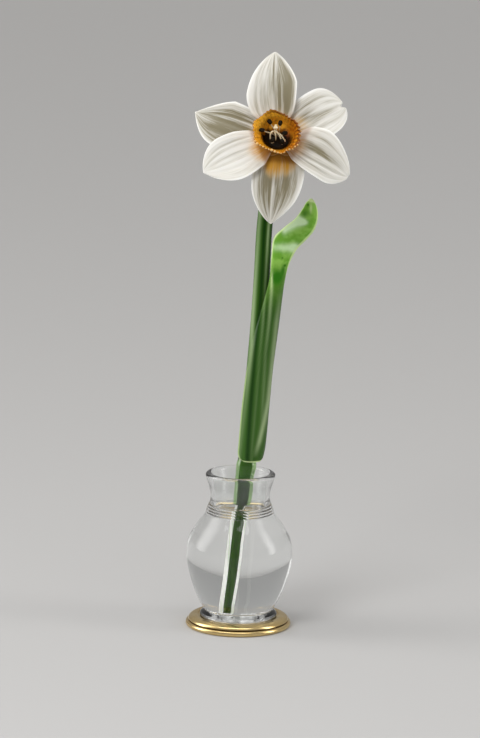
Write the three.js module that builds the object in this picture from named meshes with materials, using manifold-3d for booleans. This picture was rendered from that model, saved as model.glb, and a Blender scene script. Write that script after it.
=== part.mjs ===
// A narcissus made as an ornament: six carved petals, an amber cup with gold stamens, and a green
// glass stem and leaf, standing in a solid crystal vase on a gilt base.
// Millimetres, +Z up. The origin is the centre of the base's underside, and the flower faces -Y.

import * as THREE from 'three';
import { mergeVertices } from 'three/addons/utils/BufferGeometryUtils.js';
import Module from 'manifold-3d';

const wasm = await Module();
wasm.setup();

const DEG = Math.PI / 180;
const GAP = 0.3; // clearance between pieces that are fitted together

// ---- Driving dimensions -------------------------------------------------------------------

// Gilt base: a rounded ring below, a groove, and a domed step above it that seats the vase.
const BASE = {
	ringRadius: 19.4,
	ringHeight: 2.0,
	ringOverhang: 0.9,
	grooveRadius: 18.0,
	grooveTop: 2.3,
	stepRadius: 18.5,
	crownHeight: 4.0,
	seatRadius: 14.9,
	seatHeight: 3.75,
};

// Crystal vase: solid as if full of water, with an open neck above the water line.
const VASE = {
	footRadius: 14.2,
	waistRadius: 12.7,
	waistHeight: 6.5,
	bellyRadius: 19.45,
	bellyHeight: 27.0,
	neckRadius: 10.9,
	neckHeight: 48.2,
	rimRadius: 12.8,
	rimHeight: 57.6,
	boreRadius: 10.1,
	waterHeight: 44.5,
};

// The hole drilled down into the crystal for the foot of the stem.
const HOLE = {
	radius: 2.2,
	top: new THREE.Vector3( 0.5, 0, VASE.waterHeight ),
	bottom: new THREE.Vector3( - 2.85, 0, 8.0 ),
};

// Flower head: where the petals meet, and which way the flower looks.
const HEAD = {
	position: new THREE.Vector3( 11.75, - 14, 183.0 ),
	lookUp: 25 * DEG,
	lookLeft: 4 * DEG,
};

const TUBE = { hubRadius: 4.2, hubFront: 1.6, hubBack: - 1.5, waist: 2.7, length: 13 };

const CORONA = {
	back: TUBE.hubFront + GAP,
	floor: 2.9,
	rim: 10.4,
	rimRadius: 8.3,
	wall: 0.8,
	lobes: 6,
	lobeDepth: 0.06,
	lobeTurn: 112 * DEG,
	pleats: 12,
	pleatDepth: 0.02,
	rimLift: 0.35,
	dents: [ { angle: 62 * DEG, depth: 0.16 }, { angle: 245 * DEG, depth: 0.1 } ],
	dentSpread: 26 * DEG,
};

const PETAL = {
	root: 4.55,
	rootWidth: 0.34,
	layer: 1.0,
	lean: 0.035,
	thickness: 1.1,
	edgeThin: 0.38,
	arch: 1.3,
	recurve: 2.6,
	cup: 0.9,
	ridge: 0.22,
	ridges: 5,
	tip: 0.3,
	notchWidth: 0.9,
	rowEase: 1.35, // above 1, the rows lie closer together towards the tip
};

// Each petal: its direction clockwise from straight up, its length from the flower's centre, its
// layer (1 front, -1 back), and each side's outline as [width, where widest, swell, bluntness].
const PETALS = [
	{
		name: 'top', angle: - 5, length: 32.8, layer: 1,
		left: [ 10.9, 0.49, 1.5, 0.75 ], right: [ 7.4, 0.6, 1.4, 0.75 ],
	},
	{
		name: 'upper_right', angle: 57, length: 27.0, layer: - 1, notch: 0.9,
		left: [ 9.9, 0.7, 2.4, 0.48 ], right: [ 8.8, 0.54, 2.2, 0.45 ],
	},
	{
		name: 'lower_right', angle: 118, length: 28.9, layer: 1, notch: 0.5,
		left: [ 10.7, 0.5, 1.8, 0.7 ], right: [ 6.6, 0.7, 2.6, 0.9 ],
	},
	{
		name: 'bottom', angle: 183.5, length: 30.3, layer: - 1,
		left: [ 10.5, 0.45, 2.2, 0.98 ], right: [ 8.2, 0.48, 2.3, 0.8 ],
	},
	{
		name: 'lower_left', angle: 243.5, length: 29.6, layer: 1,
		left: [ 8.8, 0.58, 2.2, 1.0 ], right: [ 8.9, 0.66, 2.0, 0.7 ],
	},
	{
		name: 'upper_left', angle: 289, length: 32.8, layer: - 1,
		left: [ 10.8, 0.6, 2.3, 1.0 ], right: [ 7.6, 0.6, 1.2, 1.0 ],
	},
];

// Stamens: where each anther stands in the cup, in the head's own frame, long whorl then short.
const STAMENS = [
	[ - 3.1, 3.9, 7.0 ], [ 0.7, 3.5, 7.0 ], [ - 5.2, 0.9, 6.6 ],
	[ 2.4, 0.4, 5.2 ], [ - 1.9, - 2.2, 5.0 ], [ 1.6, - 2.7, 5.0 ],
];
const STYLE_TIP = new THREE.Vector3( - 1.1, 0.9, 7.4 );
const FILAMENT_RADIUS = 0.33;
const STYLE_RADIUS = 0.42;
const STIGMA_LOBE = 0.62;
const ANTHER = { length: 2.3, width: 1.4 };

// Stem: centre line from the foot in the hole to the neck behind the flower, and its radius.
const STEM = [
	[ HOLE.bottom.x + 0.05, 0, HOLE.bottom.z + GAP, 1.9 ],
	[ 0.53, 0, 44.8, 1.9 ],
	[ 0.6, 0, 45.3, 3.1 ],
	[ 0.95, 0, 49.0, 3.35 ],
	[ 1.5, 0.1, 56.0, 3.4 ],
	[ 2.1, 0.2, 60.4, 3.9 ],
	[ 2.15, 0.25, 63.2, 3.1 ],
	[ 2.3, 0.4, 67.0, 2.9 ],
	[ 3.5, 1.1, 84.5, 2.95 ],
	[ 4.8, 1.8, 100.0, 3.0 ],
	[ 5.65, 2.4, 112.0, 3.0 ],
	[ 6.45, 3.2, 128.0, 2.95 ],
	[ 7.3, 4.9, 149.0, 2.9 ],
	[ 8.5, 6.3, 159.5, 2.8 ],
	[ 10.2, 7.6, 166.5, 2.7 ],
	[ 11.9, 6.9, 171.8, 2.6 ],
];
const OVARY = { radii: [ 2.5, 3.6, 2.9 ], length: 6 }; // the swelling behind the tube, back to front

// Leaf: pairs of points on its left and right edges, how far its middle bows outward, and how much
// of the full width the blade has there (its ends are rounded).
const LEAF_THICKNESS = 0.9;
const LEAF_EDGE_THIN = 0.25;
const LEAF = [
	{ left: [ - 1.1, - 1.4, 62.5 ], right: [ 7.5, 1.0, 62.5 ], bow: 4.6, spread: 0.45 },
	{ left: [ - 1.2, - 1.4, 63.3 ], right: [ 7.7, 1.0, 63.3 ], bow: 4.7, spread: 0.76 },
	{ left: [ - 1.2, - 1.4, 65.0 ], right: [ 8.1, 1.0, 65.0 ], bow: 4.8, spread: 0.95 },
	{ left: [ - 0.9, - 1.4, 68.5 ], right: [ 8.6, 1.1, 68.5 ], bow: 4.95, spread: 1 },
	{ left: [ 0.2, - 0.9, 84 ], right: [ 9.8, 1.7, 84 ], bow: 4.95, spread: 1 },
	{ left: [ 1.5, - 0.6, 96 ], right: [ 10.8, 2.2, 97 ], bow: 4.8, spread: 1 },
	{ left: [ 3.2, - 1.3, 106 ], right: [ 11.8, 2.8, 107 ], bow: 4.3, spread: 1 },
	{ left: [ 6.1, - 2.0, 117 ], right: [ 13.2, 3.3, 118 ], bow: 2.9, spread: 1 },
	{ left: [ 9.3, - 0.8, 130 ], right: [ 14.9, 2.8, 129.5 ], bow: 1.6, spread: 1 },
	{ left: [ 9.9, - 1.0, 139 ], right: [ 16.6, 1.4, 135.6 ], bow: 1.0, spread: 1 },
	{ left: [ 10.8, - 2.0, 145.4 ], right: [ 19.2, - 0.6, 141 ], bow: 0.7, spread: 1 },
	{ left: [ 14.3, - 4.0, 149.4 ], right: [ 22.2, - 2.6, 144.6 ], bow: 0.7, spread: 1 },
	{ left: [ 18.2, - 5.6, 153.0 ], right: [ 25.2, - 4.6, 148.8 ], bow: 0.8, spread: 1 },
	{ left: [ 20.6, - 6.0, 156.7 ], right: [ 26.4, - 5.4, 153.4 ], bow: 0.8, spread: 0.98 },
	{ left: [ 21.8, - 5.9, 159.2 ], right: [ 26.1, - 5.6, 157.4 ], bow: 0.6, spread: 0.86 },
	{ left: [ 22.7, - 5.7, 160.9 ], right: [ 25.2, - 5.6, 159.9 ], bow: 0.4, spread: 0.45 },
];

// How finely the round pieces are divided.
const ROUND = { base: 36, vase: 36, tube: 20, corona: 48, stem: 12, hole: 16 };

// ---- Helpers ------------------------------------------------------------------------------

const clamp01 = ( t ) => THREE.MathUtils.clamp( t, 0, 1 );
const point2 = ( r, z ) => new THREE.Vector2( r, z );

// Points of an elliptical arc in the profile plane, from one angle to another, in degrees.
function arc( r, z, radiusR, radiusZ, from, to, steps ) {

	const points = [];
	for ( let i = 0; i <= steps; i ++ ) {

		const a = ( from + ( to - from ) * i / steps ) * DEG;
		points.push( point2( r + radiusR * Math.cos( a ), z + radiusZ * Math.sin( a ) ) );

	}

	return points;

}

// A solid of revolution about +Z from a profile of (radius, height) points.
function turned( profile, segments ) {

	return new THREE.LatheGeometry( profile, segments ).rotateX( Math.PI / 2 );

}

// A round rod along a curve: t runs from 0 to 1, and radiusAt gives the radius there.
function sweptRod( curve, radiusAt, sides, steps ) {

	const geometry = new THREE.CylinderGeometry( 1, 1, 1, sides, steps );
	const positions = geometry.attributes.position;
	const tangent = new THREE.Vector3();
	const across = new THREE.Vector3();
	const point = new THREE.Vector3();
	for ( let i = 0; i < positions.count; i ++ ) {

		const t = clamp01( positions.getY( i ) + 0.5 );
		const radius = radiusAt( t );
		curve.getTangent( t, tangent );
		across.set( 1, 0, 0 ).addScaledVector( tangent, - tangent.x ).normalize();
		curve.getPoint( t, point );
		point.addScaledVector( across, positions.getX( i ) * radius );
		point.addScaledVector( across.cross( tangent ), positions.getZ( i ) * radius );
		positions.setXYZ( i, point.x, point.y, point.z );

	}

	return geometry;

}

// A smooth curve through points whose first three numbers are x, y and z.
function curveThrough( points ) {

	return new THREE.CatmullRomCurve3( points.map( ( p ) => new THREE.Vector3( p[ 0 ], p[ 1 ], p[ 2 ] ) ) );

}

// A thin blade: one grid laid twice, for its front and its back, and closed round its edge.
// place( across, along, face ) gives each point, with across from -1 to 1, along from 0 to 1 and
// face 1 or -1. Both faces are split into triangles alike.
function blade( acrossSteps, alongSteps, place ) {

	const grid = new THREE.PlaneGeometry( 2, 1, acrossSteps, alongSteps );
	const flat = grid.attributes.position;
	const positions = [];
	for ( const face of [ 1, - 1 ] ) {

		for ( let i = 0; i < flat.count; i ++ ) {

			positions.push( ...place( flat.getX( i ), flat.getY( i ) + 0.5, face ).toArray() );

		}

	}

	const front = [ ...grid.index.array ];
	const back = front.map( ( _, i ) => front[ i - ( i % 3 ) + 2 - ( i % 3 ) ] + flat.count );
	const row = acrossSteps + 1;
	const last = alongSteps * row;
	const edge = [];
	for ( let i = 0; i < alongSteps; i ++ ) edge.push( i * row );
	for ( let i = 0; i < acrossSteps; i ++ ) edge.push( last + i );
	for ( let i = alongSteps; i > 0; i -- ) edge.push( i * row + acrossSteps );
	for ( let i = acrossSteps; i > 0; i -- ) edge.push( i );
	const rim = edge.flatMap( ( p, i ) => {

		const q = edge[ ( i + 1 ) % edge.length ];
		return [ q, p, p + flat.count, q, p + flat.count, q + flat.count ];

	} );
	const geometry = new THREE.BufferGeometry();
	geometry.setAttribute( 'position', new THREE.Float32BufferAttribute( positions, 3 ) );
	geometry.setIndex( [ ...front, ...back, ...rim ] );
	geometry.computeVertexNormals();
	return geometry;

}

// A closed geometry as a manifold-3d solid, and back.
function toSolid( geometry ) {

	const bare = geometry.clone();
	bare.deleteAttribute( 'normal' );
	bare.deleteAttribute( 'uv' );
	const merged = mergeVertices( bare, 1e-4 );
	return new wasm.Manifold( new wasm.Mesh( {
		numProp: 3,
		vertProperties: new Float32Array( merged.attributes.position.array ),
		triVerts: new Uint32Array( merged.index.array ),
	} ) );

}

function toGeometry( solid ) {

	const mesh = solid.getMesh();
	const geometry = new THREE.BufferGeometry();
	geometry.setAttribute( 'position', new THREE.BufferAttribute( mesh.vertProperties, 3 ) );
	geometry.setIndex( new THREE.BufferAttribute( mesh.triVerts, 1 ) );
	geometry.computeVertexNormals();
	return geometry;

}

function named( name, geometry, material ) {

	const mesh = new THREE.Mesh( geometry, material );
	mesh.name = name;
	return mesh;

}

// ---- Materials ----------------------------------------------------------------------------

const MATERIALS = {
	gilt: new THREE.MeshStandardMaterial( { color: 0xd8b45c, roughness: 0.22, metalness: 1 } ),
	crystal: new THREE.MeshStandardMaterial( {
		color: 0xf2f6f6, roughness: 0.03, metalness: 0, transparent: true, opacity: 0.35,
	} ),
	stem: new THREE.MeshStandardMaterial( { color: 0x3c7420, roughness: 0.15, metalness: 0 } ),
	leaf: new THREE.MeshStandardMaterial( { color: 0x5ca33a, roughness: 0.18, metalness: 0 } ),
	petal: new THREE.MeshStandardMaterial( { color: 0xefece2, roughness: 0.4, metalness: 0 } ),
	tube: new THREE.MeshStandardMaterial( { color: 0xc9cf9a, roughness: 0.35, metalness: 0 } ),
	corona: new THREE.MeshStandardMaterial( { color: 0xd98414, roughness: 0.2, metalness: 0 } ),
	gold: new THREE.MeshStandardMaterial( { color: 0xe6cf86, roughness: 0.25, metalness: 1 } ),
	anther: new THREE.MeshStandardMaterial( { color: 0x1b130c, roughness: 0.35, metalness: 0 } ),
};

// ---- Base and vase ------------------------------------------------------------------------

function makeBase() {

	const ringCentre = BASE.ringHeight / 2;
	const crownRadius = BASE.seatRadius + GAP;
	const profile = [
		point2( 0, 0 ),
		...arc( BASE.ringRadius - BASE.ringOverhang, ringCentre, BASE.ringOverhang, ringCentre, - 90, 90, 6 ),
		point2( BASE.grooveRadius, BASE.ringHeight ),
		point2( BASE.grooveRadius, BASE.grooveTop ),
		...arc( crownRadius, BASE.grooveTop, BASE.stepRadius - crownRadius, BASE.crownHeight - BASE.grooveTop,
			0, 90, 6 ),
		point2( BASE.seatRadius, BASE.crownHeight ),
		point2( BASE.seatRadius, BASE.seatHeight ),
		point2( 0, BASE.seatHeight ),
	];
	return named( 'gilt_base', turned( profile, ROUND.base ), MATERIALS.gilt );

}

// The outside of the vase between its waist and its neck, as one smooth line.
function vaseBody() {

	return new THREE.SplineCurve( [
		point2( VASE.waistRadius, VASE.waistHeight ),
		point2( 14.8, 9.6 ),
		point2( 17.4, 16.8 ),
		point2( VASE.bellyRadius - 0.4, 22.6 ),
		point2( VASE.bellyRadius, VASE.bellyHeight ),
		point2( VASE.bellyRadius - 0.9, 32.6 ),
		point2( 16.6, 36.8 ),
		point2( 13.6, 41.0 ),
		point2( 12.5, 42.6 ),
	] ).getPoints( 13 );

}

function makeVase() {

	const footTop = 4.9;
	const lipWidth = ( VASE.rimRadius - VASE.boreRadius ) / 2;
	const lipHeight = 1.0;
	const collarRings = [
		...arc( 12.0, 43.6, 0.55, 0.8, - 60, 60, 3 ),
		...arc( 11.3, 45.5, 0.5, 0.8, - 60, 60, 3 ),
	];
	const profile = [
		point2( 0, BASE.seatHeight ),
		point2( VASE.footRadius - 0.4, BASE.seatHeight ),
		point2( VASE.footRadius, BASE.seatHeight + 0.5 ),
		point2( VASE.footRadius - 0.2, footTop ),
		point2( VASE.waistRadius + 0.5, footTop + 0.8 ),
		...vaseBody(),
		...collarRings,
		point2( VASE.neckRadius + 0.1, 46.9 ),
		point2( VASE.neckRadius, VASE.neckHeight ),
		point2( VASE.neckRadius + 0.5, 51.4 ),
		point2( VASE.rimRadius - 0.3, 54.8 ),
		...arc( VASE.rimRadius - lipWidth, VASE.rimHeight - lipHeight, lipWidth, lipHeight, 0, 180, 6 ),
		point2( VASE.boreRadius - 0.8, 50 ),
		point2( VASE.boreRadius - 0.9, 47 ),
		point2( VASE.boreRadius - 0.5, VASE.waterHeight + 0.5 ),
		point2( VASE.boreRadius - 1.1, VASE.waterHeight ),
		point2( 0, VASE.waterHeight ),
	];
	const body = toSolid( turned( profile, ROUND.vase ) );
	return named( 'crystal_vase', toGeometry( body.subtract( drilledHole() ) ), MATERIALS.crystal );

}

function drilledHole() {

	const direction = HOLE.top.clone().sub( HOLE.bottom ).normalize();
	const above = HOLE.top.clone().addScaledVector( direction, 3 );
	const path = new THREE.LineCurve3( HOLE.bottom, above );
	return toSolid( sweptRod( path, () => HOLE.radius, ROUND.hole, 1 ) );

}

// ---- Stem and leaf ------------------------------------------------------------------------

// The head's own directions in the part's frame: to its right, up its face, and where it looks.
const headTurn = new THREE.Euler( Math.PI / 2 - HEAD.lookUp, 0, - HEAD.lookLeft, 'ZYX' );
const headAxis = new THREE.Vector3( 0, 0, 1 ).applyEuler( headTurn );
const behindHead = ( distance ) => HEAD.position.clone().addScaledVector( headAxis, - distance );

function makeStem() {

	const ovaryFront = TUBE.length + GAP;
	const ovary = OVARY.radii.map( ( radius, i ) => {

		const share = 1 - i / ( OVARY.radii.length - 1 );
		return [ ...behindHead( ovaryFront + OVARY.length * share ).toArray(), radius ];

	} );
	const stations = [ ...STEM, ...ovary ];
	const line = curveThrough( stations );
	const spans = stations.length - 1;
	const radiusAt = ( t ) => {

		const index = Math.min( Math.floor( t * spans ), spans - 1 );
		return THREE.MathUtils.lerp( stations[ index ][ 3 ], stations[ index + 1 ][ 3 ], t * spans - index );

	};
	return named( 'stem', sweptRod( line, radiusAt, ROUND.stem, 2 * spans ), MATERIALS.stem );

}

function makeLeaf() {

	const valueCurve = ( key ) => new THREE.SplineCurve( LEAF.map( ( s, i ) => point2( i, s[ key ] ) ) );
	const left = curveThrough( LEAF.map( ( s ) => s.left ) );
	const right = curveThrough( LEAF.map( ( s ) => s.right ) );
	const bow = valueCurve( 'bow' );
	const spread = valueCurve( 'spread' );
	const place = ( across, along, face ) => {

		const a = left.getPoint( along );
		const b = right.getPoint( along );
		const chord = b.clone().sub( a );
		const half = chord.length() / 2;
		chord.normalize();
		const run = left.getTangent( along ).add( right.getTangent( along ) );
		const outward = chord.clone().cross( run ).normalize();
		const rise = bow.getPoint( along ).y;
		const radius = ( half * half + rise * rise ) / ( 2 * rise );
		const halfAngle = 2 * Math.atan( rise / half );
		const angle = across * halfAngle * spread.getPoint( along ).y;
		const thinned = LEAF_THICKNESS * ( 1 - LEAF_EDGE_THIN * across * across );
		const shell = radius + face * thinned / 2;
		return a.add( b ).multiplyScalar( 0.5 )
			.addScaledVector( outward, shell * Math.cos( angle ) - radius * Math.cos( halfAngle ) )
			.addScaledVector( chord, shell * Math.sin( angle ) );

	};

	return named( 'leaf', blade( 10, 2 * ( LEAF.length - 1 ), place ), MATERIALS.leaf );

}

// ---- Flower head: every piece in the head's own frame, which looks along its +Z -------------

function makeTube() {

	const profile = [
		point2( 0, - TUBE.length ),
		point2( TUBE.waist - 0.3, - TUBE.length ),
		point2( TUBE.waist, - TUBE.length + 0.6 ),
		point2( TUBE.waist - 0.1, - 8 ),
		point2( TUBE.waist + 0.3, - 4.5 ),
		point2( TUBE.hubRadius - 0.3, - 2.4 ),
		point2( TUBE.hubRadius, TUBE.hubBack ),
		point2( TUBE.hubRadius, TUBE.hubFront ),
		point2( 0, TUBE.hubFront ),
	];
	return named( 'flower_tube', turned( profile, ROUND.tube ), MATERIALS.tube );

}

// How wide a petal is on one side, at a share u of its length from the flower's centre.
function petalHalfWidth( [ width, widest, swell, bluntness ], u ) {

	if ( u < widest ) {

		const opening = Math.sin( Math.PI / 2 * u / widest );
		const rootPinch = 0.72 + 0.28 * THREE.MathUtils.smoothstep( u, 0.14, 0.3 );
		return width * rootPinch * ( PETAL.rootWidth + ( 1 - PETAL.rootWidth ) * opening );

	}

	const past = ( u - widest ) / ( 1 - widest );
	return Math.max( width * ( 1 - past ** swell ) ** bluntness, PETAL.tip );

}

function makePetal( petal ) {

	const place = ( across, along, face ) => {

		const eased = 1 - ( 1 - along ) ** PETAL.rowEase;
		const reach = THREE.MathUtils.lerp( PETAL.root, petal.length, eased );
		const u = reach / petal.length;
		const side = across < 0 ? petal.left : petal.right;
		const x = across * petalHalfWidth( side, u );
		const notch = ( petal.notch ?? 0 ) * Math.exp( - ( ( x / PETAL.notchWidth ) ** 2 ) ) * eased ** 12;
		const middle = Math.sin( Math.PI * eased );
		const ridge = PETAL.ridge * Math.cos( PETAL.ridges * Math.PI * across ) * ( 1 - across ** 4 );
		const layer = petal.layer * ( PETAL.layer + PETAL.lean * reach );
		const height = layer + PETAL.arch * middle - PETAL.recurve * u ** 3
			+ PETAL.cup * across * across * middle + ridge * middle;
		const thickness = PETAL.thickness - PETAL.edgeThin * across * across;
		return new THREE.Vector3( x, reach - notch, height + face * thickness / 2 );

	};

	const mesh = named( 'petal_' + petal.name, blade( 14, 12, place ), MATERIALS.petal );
	mesh.rotation.z = - petal.angle * DEG;
	return mesh;

}

function makeCorona() {

	const profile = [
		point2( 0, CORONA.back ),
		point2( 4.3, CORONA.back ),
		point2( 5.3, CORONA.back + 0.8 ),
		point2( 6.2, 4.6 ),
		point2( 7.0, 7.2 ),
		point2( CORONA.rimRadius, CORONA.rim - 0.3 ),
		point2( CORONA.rimRadius - 0.3, CORONA.rim ),
		point2( CORONA.rimRadius - CORONA.wall, CORONA.rim - 0.4 ),
		point2( 7.0 - CORONA.wall, 7.4 ),
		point2( 6.2 - CORONA.wall, 4.8 ),
		point2( 4.8, CORONA.floor + 0.5 ),
		point2( 4.0, CORONA.floor ),
		point2( 0, CORONA.floor ),
	];
	const geometry = turned( profile, ROUND.corona );
	const positions = geometry.attributes.position;
	for ( let i = 0; i < positions.count; i ++ ) {

		const x = positions.getX( i );
		const y = positions.getY( i );
		const z = positions.getZ( i );
		const share = clamp01( ( z - CORONA.floor ) / ( CORONA.rim - CORONA.floor ) );
		const angle = Math.atan2( y, x );
		const lobe = Math.cos( CORONA.lobes * ( angle - CORONA.lobeTurn ) );
		const pleat = Math.cos( CORONA.pleats * angle );
		const waved = CORONA.lobeDepth * lobe + CORONA.pleatDepth * pleat - dented( angle );
		const scale = 1 + share * share * waved;
		positions.setXYZ( i, x * scale, y * scale, z + CORONA.rimLift * share ** 4 * lobe );

	}

	return named( 'corona', geometry, MATERIALS.corona );

}

// How far the cup's rim is pushed in at an angle, by its soft dents.
function dented( angle ) {

	return CORONA.dents.reduce( ( sum, dent ) => {

		const away = Math.atan2( Math.sin( angle - dent.angle ), Math.cos( angle - dent.angle ) );
		return sum + dent.depth * Math.exp( - ( ( away / CORONA.dentSpread ) ** 2 ) );

	}, 0 );

}

// One gold piece: a boss on the cup's floor, six curved filaments, and the style with its three lobes.
function makeStamens() {

	const floor = CORONA.floor + GAP;
	const boss = turned( [
		point2( 0, floor ),
		point2( 1.9, floor ),
		point2( 1.5, floor + 0.6 ),
		point2( 0, floor + 0.9 ),
	], 10 );
	let solid = toSolid( boss );
	const addRod = ( root, knee, tip, radius ) => {

		const path = new THREE.QuadraticBezierCurve3( root, knee, tip );
		solid = solid.add( toSolid( sweptRod( path, () => radius, 6, 5 ) ) );

	};

	for ( const stand of STAMENS ) {

		const tip = new THREE.Vector3( ...stand );
		const outward = new THREE.Vector3( tip.x, tip.y, 0 ).normalize();
		const root = outward.clone().multiplyScalar( 1.1 ).setZ( floor + 0.35 );
		const knee = outward.clone().multiplyScalar( 1.3 ).setZ( tip.z - 0.8 );
		addRod( root, knee, tip, FILAMENT_RADIUS );

	}

	const styleRoot = new THREE.Vector3( 0, 0, floor + 0.4 );
	addRod( styleRoot, new THREE.Vector3( 0.6, - 0.4, 5.6 ), STYLE_TIP, STYLE_RADIUS );
	for ( const turn of [ 90, 210, 330 ] ) {

		const lobe = new THREE.SphereGeometry( STIGMA_LOBE, 8, 6 );
		lobe.translate( STIGMA_LOBE * Math.cos( turn * DEG ), STIGMA_LOBE * Math.sin( turn * DEG ), 0 );
		lobe.translate( STYLE_TIP.x, STYLE_TIP.y, STYLE_TIP.z );
		solid = solid.add( toSolid( lobe ) );

	}

	return named( 'stamens', toGeometry( solid ), MATERIALS.gold );

}

// Anthers: dark grains, each lying across the tip of its filament.
function makeAnther( stand, index ) {

	const grain = new THREE.SphereGeometry( 0.5, 8, 6 );
	grain.scale( ANTHER.width, ANTHER.length, ANTHER.width );
	const mesh = named( 'anther_' + ( index + 1 ), grain, MATERIALS.anther );
	mesh.position.set( stand[ 0 ], stand[ 1 ], stand[ 2 ] + ANTHER.width / 2 + 0.25 );
	mesh.rotation.z = Math.atan2( stand[ 1 ], stand[ 0 ] ) - Math.PI / 2;
	return mesh;

}

function makeHead() {

	const head = new THREE.Group();
	head.add( makeTube(), makeCorona(), makeStamens() );
	head.add( ...PETALS.map( makePetal ) );
	head.add( ...STAMENS.map( makeAnther ) );
	head.position.copy( HEAD.position );
	head.rotation.copy( headTurn );
	return head;

}

// ---- The whole piece ----------------------------------------------------------------------

const narcissus = new THREE.Group();
narcissus.add( makeBase(), makeVase(), makeStem(), makeLeaf(), makeHead() );

export default narcissus;
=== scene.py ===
"""A narcissus made as an ornament: carved petals, an amber cup, a green glass stem and leaf, and a
crystal vase on a gilt base. Laid out as a Blender add-on and run as a script."""

import math

import bpy
import numpy as np
from mathutils import Matrix, Vector


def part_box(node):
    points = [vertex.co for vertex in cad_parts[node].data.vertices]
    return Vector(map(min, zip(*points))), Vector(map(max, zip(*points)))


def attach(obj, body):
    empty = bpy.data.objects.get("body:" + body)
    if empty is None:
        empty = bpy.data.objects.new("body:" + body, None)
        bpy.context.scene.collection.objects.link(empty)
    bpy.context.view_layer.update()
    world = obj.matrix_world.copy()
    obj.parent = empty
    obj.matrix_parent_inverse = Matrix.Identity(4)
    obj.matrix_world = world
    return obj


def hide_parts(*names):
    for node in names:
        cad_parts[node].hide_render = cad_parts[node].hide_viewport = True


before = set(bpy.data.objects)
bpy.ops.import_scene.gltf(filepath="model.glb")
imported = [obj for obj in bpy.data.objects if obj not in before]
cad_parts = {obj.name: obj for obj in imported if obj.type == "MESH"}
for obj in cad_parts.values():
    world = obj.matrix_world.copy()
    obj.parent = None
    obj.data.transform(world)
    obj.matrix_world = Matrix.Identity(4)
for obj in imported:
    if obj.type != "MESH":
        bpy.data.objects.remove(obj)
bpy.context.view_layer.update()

bl_info = {
    "name": "Narcissus Ornament",
    "version": (1, 0, 0),
    "blender": (4, 5, 0),
    "location": "View3D > Sidebar > Narcissus",
    "description": "Builds a carved narcissus in a crystal vase, piece by piece, round its solid frame",
    "category": "Add Mesh",
}

MM = 0.001
BODY = "root"
_, BASE_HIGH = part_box("gilt_base")
VASE_LOW, VASE_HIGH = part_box("crystal_vase")

# ---- Shape of the pieces, in millimetres, in the frame's own axes -------------------------------

BASE_RADIUS = BASE_HIGH.x / MM
VASE_RADIUS = VASE_HIGH.x / MM
RIM_HEIGHT = VASE_HIGH.z / MM
SEAT_HEIGHT = VASE_LOW.z / MM
WATER_HEIGHT = 44.5
# The vase stands this far above its seat.
FOOT_CLEARANCE = 0.05
# The radius of the small ring that a turned piece's profile is swept round.
CENTRE_RADIUS = 0.1
# Lathe marks on the gilt, in radians for each metre from the axis.
TURNING_RINGS = 24000.0

# The base: a rounded ring, a fine groove above it, and a dome up to the edge of the vase's seat.
BASE_RING_HEIGHT = 2.0
GROOVE_RADIUS = BASE_RADIUS - 1.5
GROOVE_HALF_HEIGHT = 0.15
GROOVE_HEIGHT = BASE_RING_HEIGHT + GROOVE_HALF_HEIGHT
BASE_CROWN = 4.0
SEAT_RADIUS = 14.9
# The vase's collar: the radius and height of each fine ring.
COLLAR_RINGS = [(12.35, 43.0), (12.1, 43.9), (11.75, 44.8), (11.4, 45.7)]

# The ends of the stem's foot in the vase.
FOOT_TOP = Vector((0.5, 0, WATER_HEIGHT - 0.4))
FOOT_BOTTOM = Vector((-2.8, 0, 8.35))

# The flower's centre, and how far its face looks up and to the side.
HEAD_PLACE = Vector((11.75, -14.0, 183.0))
HEAD_LOOKS_UP = math.radians(25)
HEAD_LOOKS_LEFT = math.radians(4)
HEAD_TURN = Matrix.Rotation(-HEAD_LOOKS_LEFT, 4, "Z") @ Matrix.Rotation(math.pi / 2 - HEAD_LOOKS_UP, 4, "X")
# The tube behind the petals, and how far the lobes of its front plate are turned.
TUBE_LENGTH = 13.0
PLATE_TURN = math.radians(62)

# The stem's centre line and radius, from the water line up to the neck behind the flower.
STEM_STATIONS = [
    (0.6, 0, 45.3, 3.1), (0.95, 0, 49.0, 3.35), (1.5, 0.1, 56.0, 3.4), (2.1, 0.2, 60.4, 3.7),
    (2.15, 0.25, 63.2, 3.1), (2.3, 0.4, 67.0, 2.9), (3.5, 1.1, 84.5, 2.95), (4.8, 1.8, 100.0, 3.0),
    (5.65, 2.4, 112.0, 3.0), (6.45, 3.2, 128.0, 2.95), (7.3, 4.9, 149.0, 2.9), (8.5, 6.3, 159.5, 2.8),
    (10.2, 7.6, 166.5, 2.7), (11.9, 6.9, 171.8, 2.6),
]
# The swelling behind the flower: how far behind the petals, and its radius.
OVARY_BEHIND = [(19.3, 2.5), (16.3, 3.6), (13.35, 2.9)]
# The foot of the stem, sealed in the crystal.
FOOT_STATIONS = [(*FOOT_BOTTOM, 0.95), (*FOOT_TOP, 1.4)]
# The opal slats, painted reflections: inner and outer edge beside the foot's axis, at its lower end and at
# its top.
SLATS = [((-0.95, -1.9), (-1.4, -2.25)), ((0.95, 1.65), (1.4, 1.95))]
# How far back a slat runs for each millimetre outward.
SLAT_TURN = 0.7
SLAT_HALF_THICKNESS = 0.04
# The heights between which the core widens to the whole stem, where the casing ends in the sheath,
# and those between which the painted shade and highlight bands on it fade in.
CORE_WIDENS = (62.5, 66.5)
PAINTED_BANDS_FADE_IN = (62, 66)

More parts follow.
